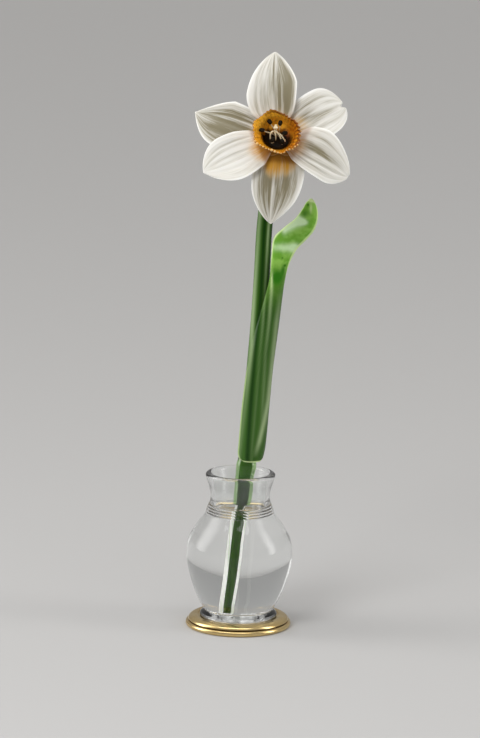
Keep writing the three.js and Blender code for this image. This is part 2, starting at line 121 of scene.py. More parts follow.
# The leaf: left edge, right edge, how far the middle bows outward, and the share of the full width.
LEAF_STATIONS = [
    (-1.1, -1.4, 62.5, 7.5, 1.0, 62.5, 4.6, 0.45), (-1.2, -1.4, 63.3, 7.7, 1.0, 63.3, 4.7, 0.76),
    (-1.2, -1.4, 65.0, 8.1, 1.0, 65.0, 4.8, 0.95), (-0.9, -1.4, 68.5, 8.6, 1.1, 68.5, 4.95, 1.0),
    (0.2, -0.9, 84.0, 9.8, 1.7, 84.0, 4.95, 1.0), (1.5, -0.6, 96.0, 10.8, 2.2, 97.0, 4.8, 1.0),
    (3.2, -1.3, 106.0, 11.8, 2.8, 107.0, 4.3, 1.0), (6.1, -2.0, 117.0, 13.2, 3.3, 118.0, 2.9, 1.0),
    (9.3, -0.8, 130.0, 14.9, 2.8, 129.5, 1.6, 1.0), (9.9, -1.0, 139.0, 16.6, 1.4, 135.6, 1.0, 1.0),
    (10.8, -2.0, 145.4, 19.2, -0.6, 141.0, 0.7, 1.0), (14.3, -4.0, 149.4, 22.2, -2.6, 144.6, 0.7, 1.0),
    (18.2, -5.6, 153.0, 25.2, -4.6, 148.8, 0.8, 1.0), (20.6, -6.0, 156.7, 26.4, -5.4, 153.4, 0.8, 0.98),
    (21.8, -5.9, 159.2, 26.1, -5.6, 157.4, 0.6, 0.86), (22.7, -5.7, 160.9, 25.2, -5.6, 159.9, 0.4, 0.45),
]
# Spots on the leaf as (x, width, z, height, strength): painted glints, the lower painted reflection, and
# patches.
GLINTS = [(23.75, 0.42, 157.1, 1.7, 0.7), (23.4, 1.3, 159.9, 0.7, 1.0), (10.1, 0.35, 129.0, 3.0, 0.7)]
LOWER_REFLECTION = [(14.5, 5.5, 141.6, 1.7, 0.85), (18.3, 1.7, 141.4, 1.9, 0.9)]
PATCHES = [
    (12.1, 2.6, 130.4, 3.2, 1.0), (14.3, 0.8, 133.5, 2.2, 0.5), (13.8, 0.5, 137.5, 0.5, 0.8),
    (15.0, 0.5, 134.9, 0.5, 0.7), (21.6, 2.1, 155.2, 1.9, 0.6), (22.7, 0.45, 158.2, 0.6, 0.8),
]
# The upper painted reflection band's middle line, as x, z and how high it is.
UPPER_REFLECTION = [(14.5, 149.7, 2.6), (19.0, 152.2, 2.1), (22.5, 151.7, 0.9)]

# Painted shade (dark) and painted highlights (light) on the green glass, as lengthwise bands beside
# the stem's axis: tone, width, and (height, place beside the stem's axis, strength) from below upward.
PAINTED_BANDS = [
    ("dark", 0.85, [(62, 0.3, 0.9), (85, -0.15, 1.0), (103, -0.5, 0.9), (114, -0.35, 0.85), (125, 0.0, 0.95),
                    (170, -0.15, 1.0)]),
    ("dark", 0.45, [(80, 2.75, 0.25), (103, 2.4, 0.35), (114, 2.4, 0.5), (125, 2.5, 0.7), (170, 2.4, 0.6)]),
    ("dark", 0.5, [(90, 3.9, 0.0), (103, 4.0, 0.35), (114, 4.6, 0.35), (125, 5.3, 0.4), (132, 5.6, 0.0)]),
    ("light", 0.75, [(62, -2.9, 0.2), (85, -2.1, 0.25), (103, -2.0, 0.65), (114, -2.4, 0.95),
                     (125, -2.4, 0.8), (144, -2.1, 0.5), (170, -2.1, 0.5)]),
    ("light", 0.4, [(85, 1.7, 0.15), (103, 1.2, 0.15), (114, 1.45, 0.35), (125, 1.45, 0.4), (144, 1.45, 1.0),
                    (170, 1.4, 1.0)]),
    ("light", 0.5, [(70, 4.6, 0.0), (85, 4.2, 0.3), (103, 3.3, 0.25), (114, 3.65, 0.45), (125, 3.8, 0.85),
                    (131, 3.9, 0.7), (134, 4.0, 0.0)]),
    ("light", 0.8, [(64, 2.9, 0.0), (70, 4.2, 0.9), (77, 5.3, 1.0), (85, 6.2, 1.0), (103, 6.2, 0.75),
                    (114, 6.4, 0.6), (127, 7.4, 0.0)]),
]

# Each petal: its turn clockwise from straight up, its length, its layer, the notch at its tip, how
# far the amber blush reaches, with its strength and how it leans to one side, its two outlines as
# (width, where widest, swell, bluntness), its folds as (place across, width, height), and its clouds
# of painted shade as (across, width, along, length, strength).
PETAL_ROOT = 4.55
PETALS = {
    "top": {
        "turn": -5, "length": 32.8, "layer": 1, "notch": 0.0, "blush": (10.8, 0.45, 1.0),
        "left": (10.9, 0.49, 1.5, 0.75), "right": (7.4, 0.6, 1.4, 0.75),
        "folds": [(-0.74, 0.07, -0.1), (-0.5, 0.07, -0.12), (-0.3, 0.06, -0.14), (-0.07, 0.05, -0.26),
                  (0.06, 0.06, 0.16), (0.22, 0.06, -0.2), (0.6, 0.2, -0.4)],
        "shade_clouds": [(0.5, 0.3, 0.42, 0.36, 0.75), (0.1, 0.14, 0.42, 0.3, 0.5), (-0.1, 0.05, 0.85, 0.3, 0.6),
                  (-0.45, 0.1, 0.35, 0.3, 0.3), (-0.7, 0.05, 0.4, 0.3, 0.25), (0.1, 1.0, 0.4, 0.6, 0.45)],
    },
    "upper_right": {
        "turn": 57, "length": 27.0, "layer": -1, "notch": 1.3, "blush": (12.0, 0.7, -1.0),
        "left": (9.9, 0.7, 2.4, 0.48), "right": (8.8, 0.54, 2.2, 0.45),
        "folds": [(-0.66, 0.08, -0.1), (-0.36, 0.08, -0.06), (-0.08, 0.06, -0.12), (0.1, 0.06, 0.06),
                  (0.28, 0.06, -0.08), (0.56, 0.08, -0.05)],
        "shade_clouds": [(-0.3, 0.3, 0.32, 0.22, 0.45), (0.0, 1.0, 0.4, 0.4, 0.2), (0.0, 0.08, 0.62, 0.3, 0.4),
                  (-0.62, 0.05, 0.6, 0.25, 0.3), (0.4, 0.07, 0.6, 0.25, 0.2)],
    },
    "lower_right": {
        "turn": 118, "length": 28.9, "layer": 1, "notch": 0.5, "blush": (11.4, 0.65, 1.5),
        "left": (10.7, 0.5, 1.8, 0.7), "right": (6.6, 0.7, 2.6, 0.9),
        "folds": [(-0.7, 0.08, -0.06), (-0.25, 0.18, -0.15), (0.04, 0.08, 0.1), (0.22, 0.06, -0.12),
                  (0.4, 0.06, 0.08), (0.56, 0.06, -0.12)],
        "shade_clouds": [(-0.22, 0.16, 0.45, 0.35, 0.5), (0.0, 1.0, 0.4, 0.4, 0.2), (0.18, 0.05, 0.45, 0.35, 0.5),
                  (0.5, 0.04, 0.4, 0.3, 0.5), (-0.62, 0.05, 0.4, 0.2, 0.25)],
    },
    "bottom": {
        "turn": 183.5, "length": 30.3, "layer": -1, "notch": 0.0, "blush": (14.2, 1.15, 0.0),
        "left": (10.5, 0.45, 2.2, 0.98), "right": (8.2, 0.48, 2.3, 0.8),
        "folds": [(-0.6, 0.06, -0.12), (-0.42, 0.05, -0.2), (-0.28, 0.05, -0.24), (-0.13, 0.05, -0.2),
                  (0.02, 0.05, 0.3), (0.16, 0.06, -0.2), (0.45, 0.1, -0.2)],
        "shade_clouds": [(-0.3, 0.28, 0.5, 0.32, 0.7), (0.45, 0.2, 0.5, 0.4, 0.6), (0.15, 0.06, 0.6, 0.35, 0.5),
                  (-0.7, 0.1, 0.4, 0.25, 0.4), (0.0, 1.2, 0.5, 0.6, 0.45)],
    },
    "lower_left": {
        "turn": 243.5, "length": 29.6, "layer": 1, "notch": 0.0, "blush": (11.8, 0.95, -2.4),
        "left": (8.8, 0.58, 2.2, 1.0), "right": (8.9, 0.66, 2.0, 0.7),
        "folds": [(-0.5, 0.12, -0.04), (-0.14, 0.08, -0.06), (0.06, 0.07, -0.1), (0.34, 0.08, -0.07),
                  (0.62, 0.06, -0.12), (0.76, 0.05, 0.1)],
        "shade_clouds": [(0.1, 0.05, 0.5, 0.25, 0.2), (0.62, 0.04, 0.45, 0.3, 0.3), (-0.6, 0.12, 0.12, 0.1, 0.3)],
    },
    "upper_left": {
        "turn": 289, "length": 32.8, "layer": -1, "notch": 0.0, "blush": (11.2, 0.5, 0.5),
        "left": (10.8, 0.6, 2.3, 1.0), "right": (7.6, 0.6, 1.2, 1.0),
        "folds": [(-0.5, 0.16, -0.16), (-0.25, 0.08, 0.06), (-0.08, 0.09, -0.12), (0.14, 0.08, 0.08),
                  (0.3, 0.08, -0.12), (0.5, 0.07, -0.1), (0.8, 0.1, 0.14)],
        "shade_clouds": [(-0.1, 0.9, 0.5, 0.6, 0.7), (0.3, 0.08, 0.45, 0.35, 0.5), (0.05, 0.06, 0.55, 0.35, 0.4),
                  (0.55, 0.1, 0.4, 0.3, 0.4), (-0.5, 0.5, 0.6, 0.5, 0.35)],
    },
}

# The cup's heights along the head's axis, and the rim's radius before it is waved.
CUP_BACK = 1.9
CUP_FLOOR = 2.9
CUP_RIM = 10.4
CUP_RIM_RADIUS = 8.3
# The rim's reach from the cup's axis, by the angle round it from the right.
CUP_RIM_STATIONS = [
    (5, 8.1), (14, 7.8), (31, 7.4), (45, 6.6), (56, 6.4), (70, 6.6), (86, 6.9), (100, 7.9), (110, 8.4),
    (122, 8.2), (134, 8.0), (146, 8.3), (156, 9.1), (163, 9.4), (172, 9.0), (188, 8.6), (202, 9.0),
    (212, 9.2), (220, 8.7), (230, 8.0), (247, 7.7), (262, 7.8), (272, 8.3), (282, 8.9), (290, 8.5),
    (298, 8.3), (308, 8.8), (320, 9.2), (332, 9.1), (345, 8.5),
]

# The stamens: where each anther stands in the cup, in the head's own axes.
ANTHERS = [
    (-3.1, 3.9, 7.0), (0.7, 3.5, 7.0), (-5.7, 0.8, 6.8), (2.4, 0.4, 5.2), (-1.9, -2.2, 5.0), (1.6, -2.7, 5.0),
]
ANTHER_LENGTH = 2.1
ANTHER_WIDTH = 1.75
# How many of them stand on a filament of their own. The others lie at the ends of drooping ones.
STANDING = 4
# The style's line: root, knee and tip.
STYLE_ROOT = (0, 0.2, CUP_FLOOR + 0.2)
STYLE_KNEE = (-0.6, 0.6, 6.0)
STYLE_TIP = (-0.8, 2.0, 7.7)
# Filaments that droop from below the style over the cup's floor, as root, knee and end, and the pale
# grains at their ends, as the two ends of each.
DROOPING = [
    ((-1.5, 0.9, 7.0), (0.6, 0.6, 7.4), (1.6, -3.4, 5.0)),
    ((-1.7, 0.8, 6.8), (-3.1, 0.4, 6.8), (-2.7, -1.7, 5.4)),
    ((-1.3, 0.9, 6.7), (-0.6, -0.5, 6.6), (-0.9, -1.9, 5.0)),
    ((0.0, 0.4, 5.6), (1.6, -0.4, 6.4), (2.3, -2.3, 5.2)),
]
GRAINS = [((-2.2, -2.2, 5.4), (-1.9, -3.0, 5.0)), ((2.0, -1.8, 5.4), (2.3, -2.6, 5.2))]

# How finely the pieces are divided that have no setting for it.
STEM_POINTS = 160
FOOT_POINTS = 12
LEAF_COLUMNS = 44
TUBE_SEGMENTS = 96
PETAL_COLUMNS = 88
PETAL_ROWS = 97
RIM_POINTS = 240
WIRE_POINTS = 18
WIRE_SIDES = 16
ANTHER_RINGS = 21
ANTHER_SIDES = 28

# ---- Stage, in metres ---------------------------------------------------------------------------

FLOOR_HALF_WIDTH = 30.0
# The distant softboxes: setting, direction, and half width and half height at a distance of one.
FAR_SOFTBOXES = [("left", (-0.9, 0.08, 0.36), 0.25, 0.55), ("right", (0.8, -0.17, 0.25), 0.15, 0.53)]
# How much of their light is held back from rays that have passed through glass.
DIMMED_THROUGH_GLASS = 0.45
# The near softboxes: name, place, size, and share of the key light's power.
NEAR_SOFTBOXES = [
    ("front", (-0.5, -0.85, 0.8), (0.5, 0.5), 0.75),
    ("top", (-0.1, -0.4, 1.2), (1.2, 0.5), 0.5),
]
LAMPS_AIM = Vector((0.005, 0, 0.12))
CAMERA_PLACE = Vector((0, -1.5, 0.40146))
CAMERA_AIM = Vector((-0.000835, 0, 0.09609))
CAMERA_LEAN = 0.016556
CAMERA_LENS = 204.8

# ---- Numbers and curves -------------------------------------------------------------------------


def smoothstep(low, high, value):
    share = np.clip((value - low) / (high - low), 0, 1)
    return share * share * (3 - 2 * share)


def lerp(low, high, share):
    return low + (high - low) * share


def smooth_curve(stations, shares):
    """Rows on a centripetal Catmull-Rom curve through the stations, at shares from 0 to 1."""
    rows = np.array(stations, float)
    rows = np.vstack([2 * rows[0] - rows[1], rows, 2 * rows[-1] - rows[-2]])
    gaps = np.sqrt(np.linalg.norm(np.diff(rows, axis=0), axis=1))
    spans = len(rows) - 3
    found = []
    for share in shares:
        span = min(int(share * spans), spans - 1)
        t = share * spans - span
        before, start, end, after = rows[span : span + 4]
        gap_before, gap, gap_after = gaps[span : span + 3]
        slope_in = (start - before) / gap_before - (end - before) / (gap_before + gap) + (end - start) / gap
        slope_out = (end - start) / gap - (after - start) / (gap + gap_after) + (after - end) / gap_after
        slope_in = slope_in * gap
        slope_out = slope_out * gap
        found.append(
            start
            + slope_in * t
            + (3 * (end - start) - 2 * slope_in - slope_out) * t**2
            + (2 * (start - end) + slope_in + slope_out) * t**3
        )
    return np.array(found)


def arc(centre, radii, first, last, steps):
    """Points of an elliptical arc in the profile plane, from one angle to another, in degrees."""
    angles = np.radians(np.linspace(first, last, steps + 1))
    return [(centre[0] + radii[0] * math.cos(a), centre[1] + radii[1] * math.sin(a)) for a in angles]


def spline(points, steps):
    """A smooth profile line through given points."""
    return [tuple(p) for p in smooth_curve(points, np.linspace(0, 1, steps + 1))]


def blots(spots, across, along):
    """Soft spots, each as (across, width, along, length, strength), added together."""
    total = np.zeros_like(across)
    for middle, width, height, length, strength in spots:
        total += strength * np.exp(-(((across - middle) / width) ** 2) - ((along - height) / length) ** 2)
    return np.clip(total, 0, 1)


def behind_head(distance):
    """The place on the flower's axis that lies a distance behind its centre."""
    return HEAD_PLACE - distance * HEAD_TURN.to_3x3().col[2]


def in_head(points):
    """Points in the head's own axes, brought to the frame's axes, in millimetres."""
    turn = np.array(HEAD_TURN.to_3x3())
    return np.asarray(points, float) @ turn.T + np.array(HEAD_PLACE)


# ---- Meshes and objects -------------------------------------------------------------------------


def mesh_from(name, points, faces, edges=()):
    """A mesh from points in millimetres."""
    mesh = bpy.data.meshes.new(name)
    mesh.from_pydata([tuple(p) for p in np.asarray(points, float) * MM], edges, faces)
    mesh.validate()
    return mesh


def mesh_places(mesh):
    """A mesh's points as rows, in millimetres."""
    return np.array([v.co for v in mesh.vertices]) / MM


def store(mesh, name, values):
    """Stores a number for each point, under a name that a material or a tree reads."""
    attribute = mesh.attributes.new(name, "FLOAT", "POINT")
    attribute.data.foreach_set("value", np.asarray(values, np.float32))


def make_outward(mesh):
    """Turns a closed mesh the right way out, if its faces point inwards."""
    mesh.calc_loop_triangles()
    volume = 0.0
    for triangle in mesh.loop_triangles:
        a, b, c = (mesh.vertices[i].co for i in triangle.vertices)
        volume += a.dot(b.cross(c))
    if volume < 0:
        mesh.flip_normals()


def new_object(name, mesh, material=None):
    obj = bpy.data.objects.new(name, mesh)
    if material is not None:
        mesh.materials.append(material)
    bpy.context.scene.collection.objects.link(obj)
    return obj


def finish_piece(obj, slot, *nodes):
    """Gives a finished piece its body and hides the solids that it stands for."""
    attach(obj, BODY)
    if nodes:
        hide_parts(*nodes)


def closed_mesh(name, points, rows, loop):
    """A smooth closed mesh of looped rows, with a point at each end: the last two of its points."""
    root, tip, last = rows * loop, rows * loop + 1, (rows - 1) * loop
    faces = []
    for i in range(loop):
        following = (i + 1) % loop
        faces.append((root, following, i))
        faces.append((tip, last + i, last + following))
        for low in range(0, last, loop):
            faces.append((low + i, low + following, low + loop + following, low + loop + i))
    mesh = mesh_from(name, points, faces)
    mesh.shade_smooth()
    return mesh


def shell_mesh(name, place, columns, shares, marks):
    """A closed thin blade. Each row is a loop round its front and back, and the last row is a point.

    place(across, along, side) gives points in millimetres, with across from -1 to 1, along from 0
    to 1, and side 1 on the front face, -1 on the back and 0 on the edge. marks(across, along,
    points) gives the attributes that its material reads.
    """
    turn = np.linspace(-math.pi / 2, 1.5 * math.pi, 2 * columns, endpoint=False)
    rows = len(shares) - 1
    across = np.sin(turn)
    side = np.sign(np.cos(turn)) * np.sqrt(np.clip(1 - np.abs(across) ** 8, 0, 1))
    side = np.append(np.tile(side, rows), [0, 0])
    across = np.append(np.tile(across, rows), [0, 0])
    along = np.append(np.repeat(shares[:-1], len(turn)), [shares[0], shares[-1]])
    points = place(across, along, side)
    mesh = closed_mesh(name, points, rows, len(turn))
    for key, values in marks(across, along, points).items():
        store(mesh, key, values)
    return mesh


# ---- Geometry Nodes -----------------------------------------------------------------------------


class Nodes:
    """A node tree under construction."""

    def __init__(self, tree):
        self.tree = tree

    def add(self, kind, inputs=None, **settings):
        """Adds a node, with each input set to a value or linked, and returns its outputs."""
        node = self.tree.nodes.new(kind)
        for key, value in settings.items():
            setattr(node, key, value)
        for key, value in (inputs or {}).items():
            if isinstance(value, bpy.types.NodeSocket):
                self.tree.links.new(value, node.inputs[key])
            else:
                node.inputs[key].default_value = value
        return node.outputs

    def maths(self, operation, *values, clamp=False):
        return self.add("ShaderNodeMath", dict(enumerate(values)), operation=operation, use_clamp=clamp)[0]

    def span(self, value, low, high):
        """value's share of the way from low to high, eased and kept between 0 and 1."""
        inputs = {"Value": value, "From Min": low, "From Max": high}
        return self.add("ShaderNodeMapRange", inputs, interpolation_type="SMOOTHSTEP")[0]


class Tree(Nodes):
    """A node group. Each of its sockets is named with a default, or with its kind in words."""

    def __init__(self, name, kind, inputs, outputs):
        super().__init__(bpy.data.node_groups.new(name, kind))
        for way, sockets in (("INPUT", inputs), ("OUTPUT", outputs)):
            for key, value in sockets.items():
                bare = isinstance(value, str)
                type_name = "NodeSocket" + (value if bare else type(value).__name__.capitalize())
                made = self.tree.interface.new_socket(name=key, in_out=way, socket_type=type_name)
                if not bare:
                    made.default_value = value
        self.entry = self.tree.nodes.new("NodeGroupInput").outputs
        self.exit = self.tree.nodes.new("NodeGroupOutput").inputs

    def give(self, output, value):
        self.tree.links.new(value, self.exit[output])


class PieceTree(Tree):
    """A Geometry Nodes tree that makes a piece from lines, with a material of its own."""

    def __init__(self, name, inputs):
        inputs = {"Lines": "Geometry", **inputs, "Material": "Material"}
        super().__init__(name, "GeometryNodeTree", inputs, {"Geometry": "Geometry"})
        self.line = self.add("GeometryNodeMeshToCurve", {"Mesh": self.entry["Lines"]})[0]

    def attribute(self, name):
        return self.add("GeometryNodeInputNamedAttribute", {"Name": name}, data_type="FLOAT")["Attribute"]

    def finish(self, geometry):
        """Ends the tree with smooth shading, real instances and the piece's material."""
        smooth = self.add("GeometryNodeSetShadeSmooth", {"Geometry": geometry})[0]
        real = self.add("GeometryNodeRealizeInstances", {"Geometry": smooth})[0]
        dressed = {"Geometry": real, "Material": self.entry["Material"]}
        self.give("Geometry", self.add("GeometryNodeSetMaterial", dressed)[0])
        return self.tree


def turned_tree(name):
    """Turns a profile line, drawn as radius and height, round the upright axis."""
    t = PieceTree(name, {"Segments": 128, "Centre Radius": 0.0001})
    size = {"Resolution": t.entry["Segments"], "Radius": t.entry["Centre Radius"]}
    ring = t.add("GeometryNodeCurvePrimitiveCircle", size)[0]
    swept = t.add("GeometryNodeCurveToMesh", {"Curve": ring, "Profile Curve": t.line})[0]
    return t.finish(t.add("GeometryNodeMergeByDistance", {"Geometry": swept, "Distance": 1e-6})[0])


def rod_tree(name):
    """Sweeps a round section along lines, as thick as the attribute rod_radius says."""
    t = PieceTree(name, {"Sides": 32})
    ring = t.add("GeometryNodeCurvePrimitiveCircle", {"Resolution": t.entry["Sides"], "Radius": 1.0})[0]
    section = {"Profile Curve": ring, "Scale": t.attribute("rod_radius"), "Fill Caps": True}
    return t.finish(t.add("GeometryNodeCurveToMesh", {"Curve": t.line, **section})[0])


def bead_tree(name):
    """Sets beads along a closed line, sized by chance and by the attribute bead_size."""
    t = PieceTree(name, {"Count": 60, "Bead Radius": 0.0003, "Smallest": 0.7, "Largest": 1.2, "Seed": 7})
    spaced = t.add("GeometryNodeResampleCurve", {"Curve": t.line, "Count": t.entry["Count"]})[0]
    ball = t.add("GeometryNodeMeshIcoSphere", {"Radius": t.entry["Bead Radius"], "Subdivisions": 3})[0]
    limits = {2: t.entry["Smallest"], 3: t.entry["Largest"], "Seed": t.entry["Seed"]}
    chance = t.add("FunctionNodeRandomValue", limits, data_type="FLOAT")[1]
    size = t.maths("MULTIPLY", chance, t.attribute("bead_size"))
    beads = {"Points": spaced, "Instance": ball, "Scale": size}
    return t.finish(t.add("GeometryNodeInstanceOnPoints", beads)[0])


def tree_once(name, make):
    """The node group of that name, made the first time that it is asked for."""
    return bpy.data.node_groups.get(name) or make(name)


def grown(name, source, tree, inputs, sharp):
    """An object whose mesh is what the tree makes of the source, with edges sharp past an angle."""
    obj = new_object(name, source)
    modifier = obj.modifiers.new(tree.name, "NODES")
    modifier.node_group = tree
    for item in tree.interface.items_tree:
        if item.in_out == "INPUT" and item.name in inputs:
            modifier[item.identifier] = inputs[item.name]
    graph = bpy.context.evaluated_depsgraph_get()
    mesh = bpy.data.meshes.new_from_object(obj.evaluated_get(graph))
    obj.modifiers.clear()
    obj.data = mesh
    # Only the piece's material stays: an instanced ball brings an empty slot of its own.
    mesh.materials.clear()
    mesh.materials.append(inputs["Material"])
    make_outward(mesh)
    mesh.set_sharp_from_angle(angle=math.radians(sharp))
    return obj


def turned_piece(name, profile, segments, material, sharp=38):
    """A piece of revolution about the upright axis, from (radius, height) points in millimetres."""
    points = [(radius - CENTRE_RADIUS, -height, 0) for radius, height in profile]
    line = mesh_from(name + "_profile", points, [], [(i, i + 1) for i in range(len(points) - 1)])
    inputs = {"Segments": segments, "Centre Radius": CENTRE_RADIUS * MM, "Material": material}
    return grown(name, line, tree_once("Turned Piece", turned_tree), inputs, sharp)


def rods(name, lines, sides, material):
    """Round rods along lines of (x, y, z, radius) rows in millimetres."""
    points = np.vstack(lines)
    ends = np.cumsum([len(line) for line in lines]) - 1
    edges = [(i, i + 1) for i in range(len(points) - 1) if i not in ends]
    source = mesh_from(name + "_lines", points[:, :3], [], edges)
    store(source, "rod_radius", points[:, 3] * MM)
    inputs = {"Sides": sides, "Material": material}
    return grown(name, source, tree_once("Swept Rod", rod_tree), inputs, sharp=50)


# ---- Materials ----------------------------------------------------------------------------------


class Paint(Nodes):
    """A material under construction, with one Principled shader."""

    def __init__(self, name, **values):
        self.material = bpy.data.materials.new(name)
        self.material.use_nodes = True
        super().__init__(self.material.node_tree)
        self.shader = self.tree.nodes["Principled BSDF"].inputs
        for key, value in values.items():
            self.shader[key.replace("_", " ")].default_value = value

    def attribute(self, name):
        return self.add("ShaderNodeAttribute", attribute_name=name)["Fac"]

    def place(self):
        return self.add("ShaderNodeTexCoord")["Object"]

    def noise(self, scale, detail):
        inputs = {"Vector": self.place(), "Scale": scale, "Detail": detail}
        return self.add("ShaderNodeTexNoise", inputs)["Fac"]

    def long_noise(self, scales, detail):
        """Noise with a scale for each axis, so that it can run lengthwise."""
        place = self.add("ShaderNodeMapping", {"Vector": self.place(), "Scale": scales})[0]
        inputs = {"Vector": place, "Scale": 1.0, "Detail": detail}
        return self.add("ShaderNodeTexNoise", inputs)["Fac"]

    def mix(self, share, first, second):
        """The share of the way from the first colour to the second."""
        inputs = {0: share}
        for key, colour in ((6, first), (7, second)):
            inputs[key] = colour if isinstance(colour, bpy.types.NodeSocket) else (*colour, 1)
        return self.add("ShaderNodeMix", inputs, data_type="RGBA")[2]

    def scaled(self, value, factor, offset=0.0):
        """factor times value, plus offset."""
        return self.maths("MULTIPLY_ADD", value, factor, offset)

    def streaks(self, lines, length, shift):
        inputs = {"Across": self.attribute("across"), "Along": self.attribute("along")}
        inputs.update({"Lines": lines, "Length": length, "Shift": shift})
        return self.add("ShaderNodeGroup", inputs, node_tree=tree_once("Streaks", streaks_group))["Mask"]

    def polish(self, smoothest, roughest, patch_scale, mark_scale):
        inputs = {"Place": self.place(), "Patch Scale": patch_scale, "Mark Scale": mark_scale}
        inputs.update({"Smoothest": smoothest, "Roughest": roughest})
        return self.add("ShaderNodeGroup", inputs, node_tree=tree_once("Polish", polish_group))

    def give(self, socket, value):
        self.tree.links.new(value, self.shader[socket])

    def bump(self, height, strength, distance):
        inputs = {"Height": height, "Strength": strength, "Distance": distance}
        self.give("Normal", self.add("ShaderNodeBump", inputs)[0])


def streaks_group(name):
    """Fine lines that run lengthwise on a piece: they follow its attributes across and along."""
    inputs = {"Across": 0.0, "Along": 0.0, "Lines": 30.0, "Length": 1.5, "Shift": 0.0}
    t = Tree(name, "ShaderNodeTree", inputs, {"Mask": "Float"})
    wide = t.maths("MULTIPLY", t.entry["Across"], t.entry["Lines"])
    long = t.maths("MULTIPLY", t.entry["Along"], t.entry["Length"])
    place = t.add("ShaderNodeCombineXYZ", {0: wide, 1: long, 2: t.entry["Shift"]})[0]
    grain = {"Vector": place, "Scale": 1.0, "Detail": 3.0, "Roughness": 0.6}
    noise = t.add("ShaderNodeTexNoise", grain)["Fac"]
    t.give("Mask", t.add("ShaderNodeMapRange", {"Value": noise, "From Min": 0.32, "From Max": 0.68})[0])
    return t.tree


def polish_group(name):
    """Small changes of gloss over a polished surface, with the faint marks that polishing leaves."""
    inputs = {"Place": "Vector", "Patch Scale": 250.0, "Mark Scale": 2500.0}
    inputs.update({"Smoothest": 0.1, "Roughest": 0.3})
    t = Tree(name, "ShaderNodeTree", inputs, dict.fromkeys(("Roughness", "Height", "Patches"), "Float"))

    def noise(scale, detail):
        inputs = {"Vector": t.entry["Place"], "Scale": t.entry[scale], "Detail": detail}
        return t.add("ShaderNodeTexNoise", inputs)["Fac"]

    patches = noise("Patch Scale", 4.0)
    limits = {"From Min": 0.3, "From Max": 0.7, "To Min": t.entry["Smoothest"], "To Max": t.entry["Roughest"]}
    t.give("Roughness", t.add("ShaderNodeMapRange", {"Value": patches, **limits})[0])
    t.give("Height", noise("Mark Scale", 2.0))
    t.give("Patches", patches)
    return t.tree


def gilt_paint(s):
    """Polished gilt, turned on a lathe: duller in the groove, and darker there as painted shade."""
    p = Paint("polished_gilt", Metallic=1.0)
    polish = p.polish(0.14, 0.28, 250.0, 2500.0)
    cavity = p.attribute("cavity")
    gilt = p.mix(p.span(polish["Patches"], 0.35, 0.7), s.gold, s.gold_warm)
    # The groove is darkened with painted shade.
    p.give("Base Color", p.mix(cavity, gilt, s.groove))
    p.give("Roughness", p.scaled(cavity, 0.25, polish["Roughness"]))
    split = p.add("ShaderNodeSeparateXYZ", {0: p.place()})
    flat = p.add("ShaderNodeCombineXYZ", {0: split[0], 1: split[1]})[0]
    radius = p.add("ShaderNodeVectorMath", {0: flat}, operation="LENGTH")["Value"]
    p.bump(p.maths("SINE", p.scaled(radius, TURNING_RINGS)), 0.05, 0.00002)
    return p.material


def crystal_paint(name, tint, waviness):
    """Clear glass with the very slight waves that hand polishing leaves."""
    p = Paint(name, Base_Color=(*tint, 1), Roughness=0.0, IOR=1.5, Transmission_Weight=1.0)
    p.bump(p.noise(90.0, 1.0), waviness, 0.0004)
    return p.material


def opal_paint(s):
    """Milky glass with thin lengthwise threads: a painted reflection, glowing by itself as painted light."""
    p = Paint("opal_glass", Roughness=0.4, Emission_Strength=s.opal_glow)
    milky = p.mix(p.span(p.long_noise((1500, 1500, 25), 2.0), 0.45, 0.75), s.opal, s.opal_shade)
    p.give("Base Color", milky)
    # Painted light: the slats glow by themselves.
    p.give("Emission Color", milky)
    return p.material


def core_paint(s):
    """The green glass of the stem: lengthwise bands of painted shade and painted highlights, and painted
    light that makes it brighter below the sheath.
    """
    p = Paint("stem_core_green", Roughness=0.25, Specular_IOR_Level=0.14)
    fine = p.scaled(p.span(p.long_noise((900, 900, 14), 3.0), 0.35, 0.65), 0.35)
    green = p.mix(fine, s.green, s.deep)
    # Painted shade and painted highlights, in lengthwise bands.
    green = p.mix(p.attribute("dark"), green, s.deep)
    green = p.mix(p.attribute("light"), green, s.pale)
    height = p.add("ShaderNodeSeparateXYZ", {0: p.place()})[2]
    # The stretch between the vase and the sheath, painted brighter as light, in metres.
    collar = p.scaled(p.span(height, 0.053, 0.058), p.span(height, 0.066, 0.062))
    p.give("Base Color", p.mix(collar, green, s.bright))
    return p.material


def leaf_paint(s):
    """Green glass: random streaks with bands of painted shade and painted highlights on the sheath, bright
    and clouded on the free blade with painted reflection bands, and painted highlights on the edges.
    """
    p = Paint("leaf_glass", Roughness=0.25, Specular_IOR_Level=0.1, Coat_Weight=0.14, Coat_Roughness=0.05)
    sheath = p.mix(p.scaled(p.streaks(3.5, 1.2, 3.0), 0.3), s.sheath, s.sheath_light)
    # Painted shade and painted highlights, in lengthwise bands.
    sheath = p.mix(p.attribute("dark"), sheath, s.deep)
    sheath = p.mix(p.attribute("light"), sheath, s.sheath_pale)
    clouds = p.noise(260.0, 2.0)
    ragged = p.scaled(clouds, 0.35, -0.175)
    blade = p.mix(p.span(clouds, 0.4, 0.65), s.blade, s.blade_bright)
    # Painted reflection bands across the blade.
    blade = p.mix(p.span(p.maths("ADD", p.attribute("pale"), ragged), -0.1, 1.25), blade, s.blade_pale)
    colour = p.mix(p.attribute("free"), sheath, blade)
    colour = p.mix(p.span(p.maths("ADD", p.attribute("patch"), ragged), 0.1, 0.9), colour, s.patch)
    # Painted highlights on the edges, at both ends and in the glints.
    p.give("Base Color", p.mix(p.attribute("edge"), colour, s.edge))
    return p.material


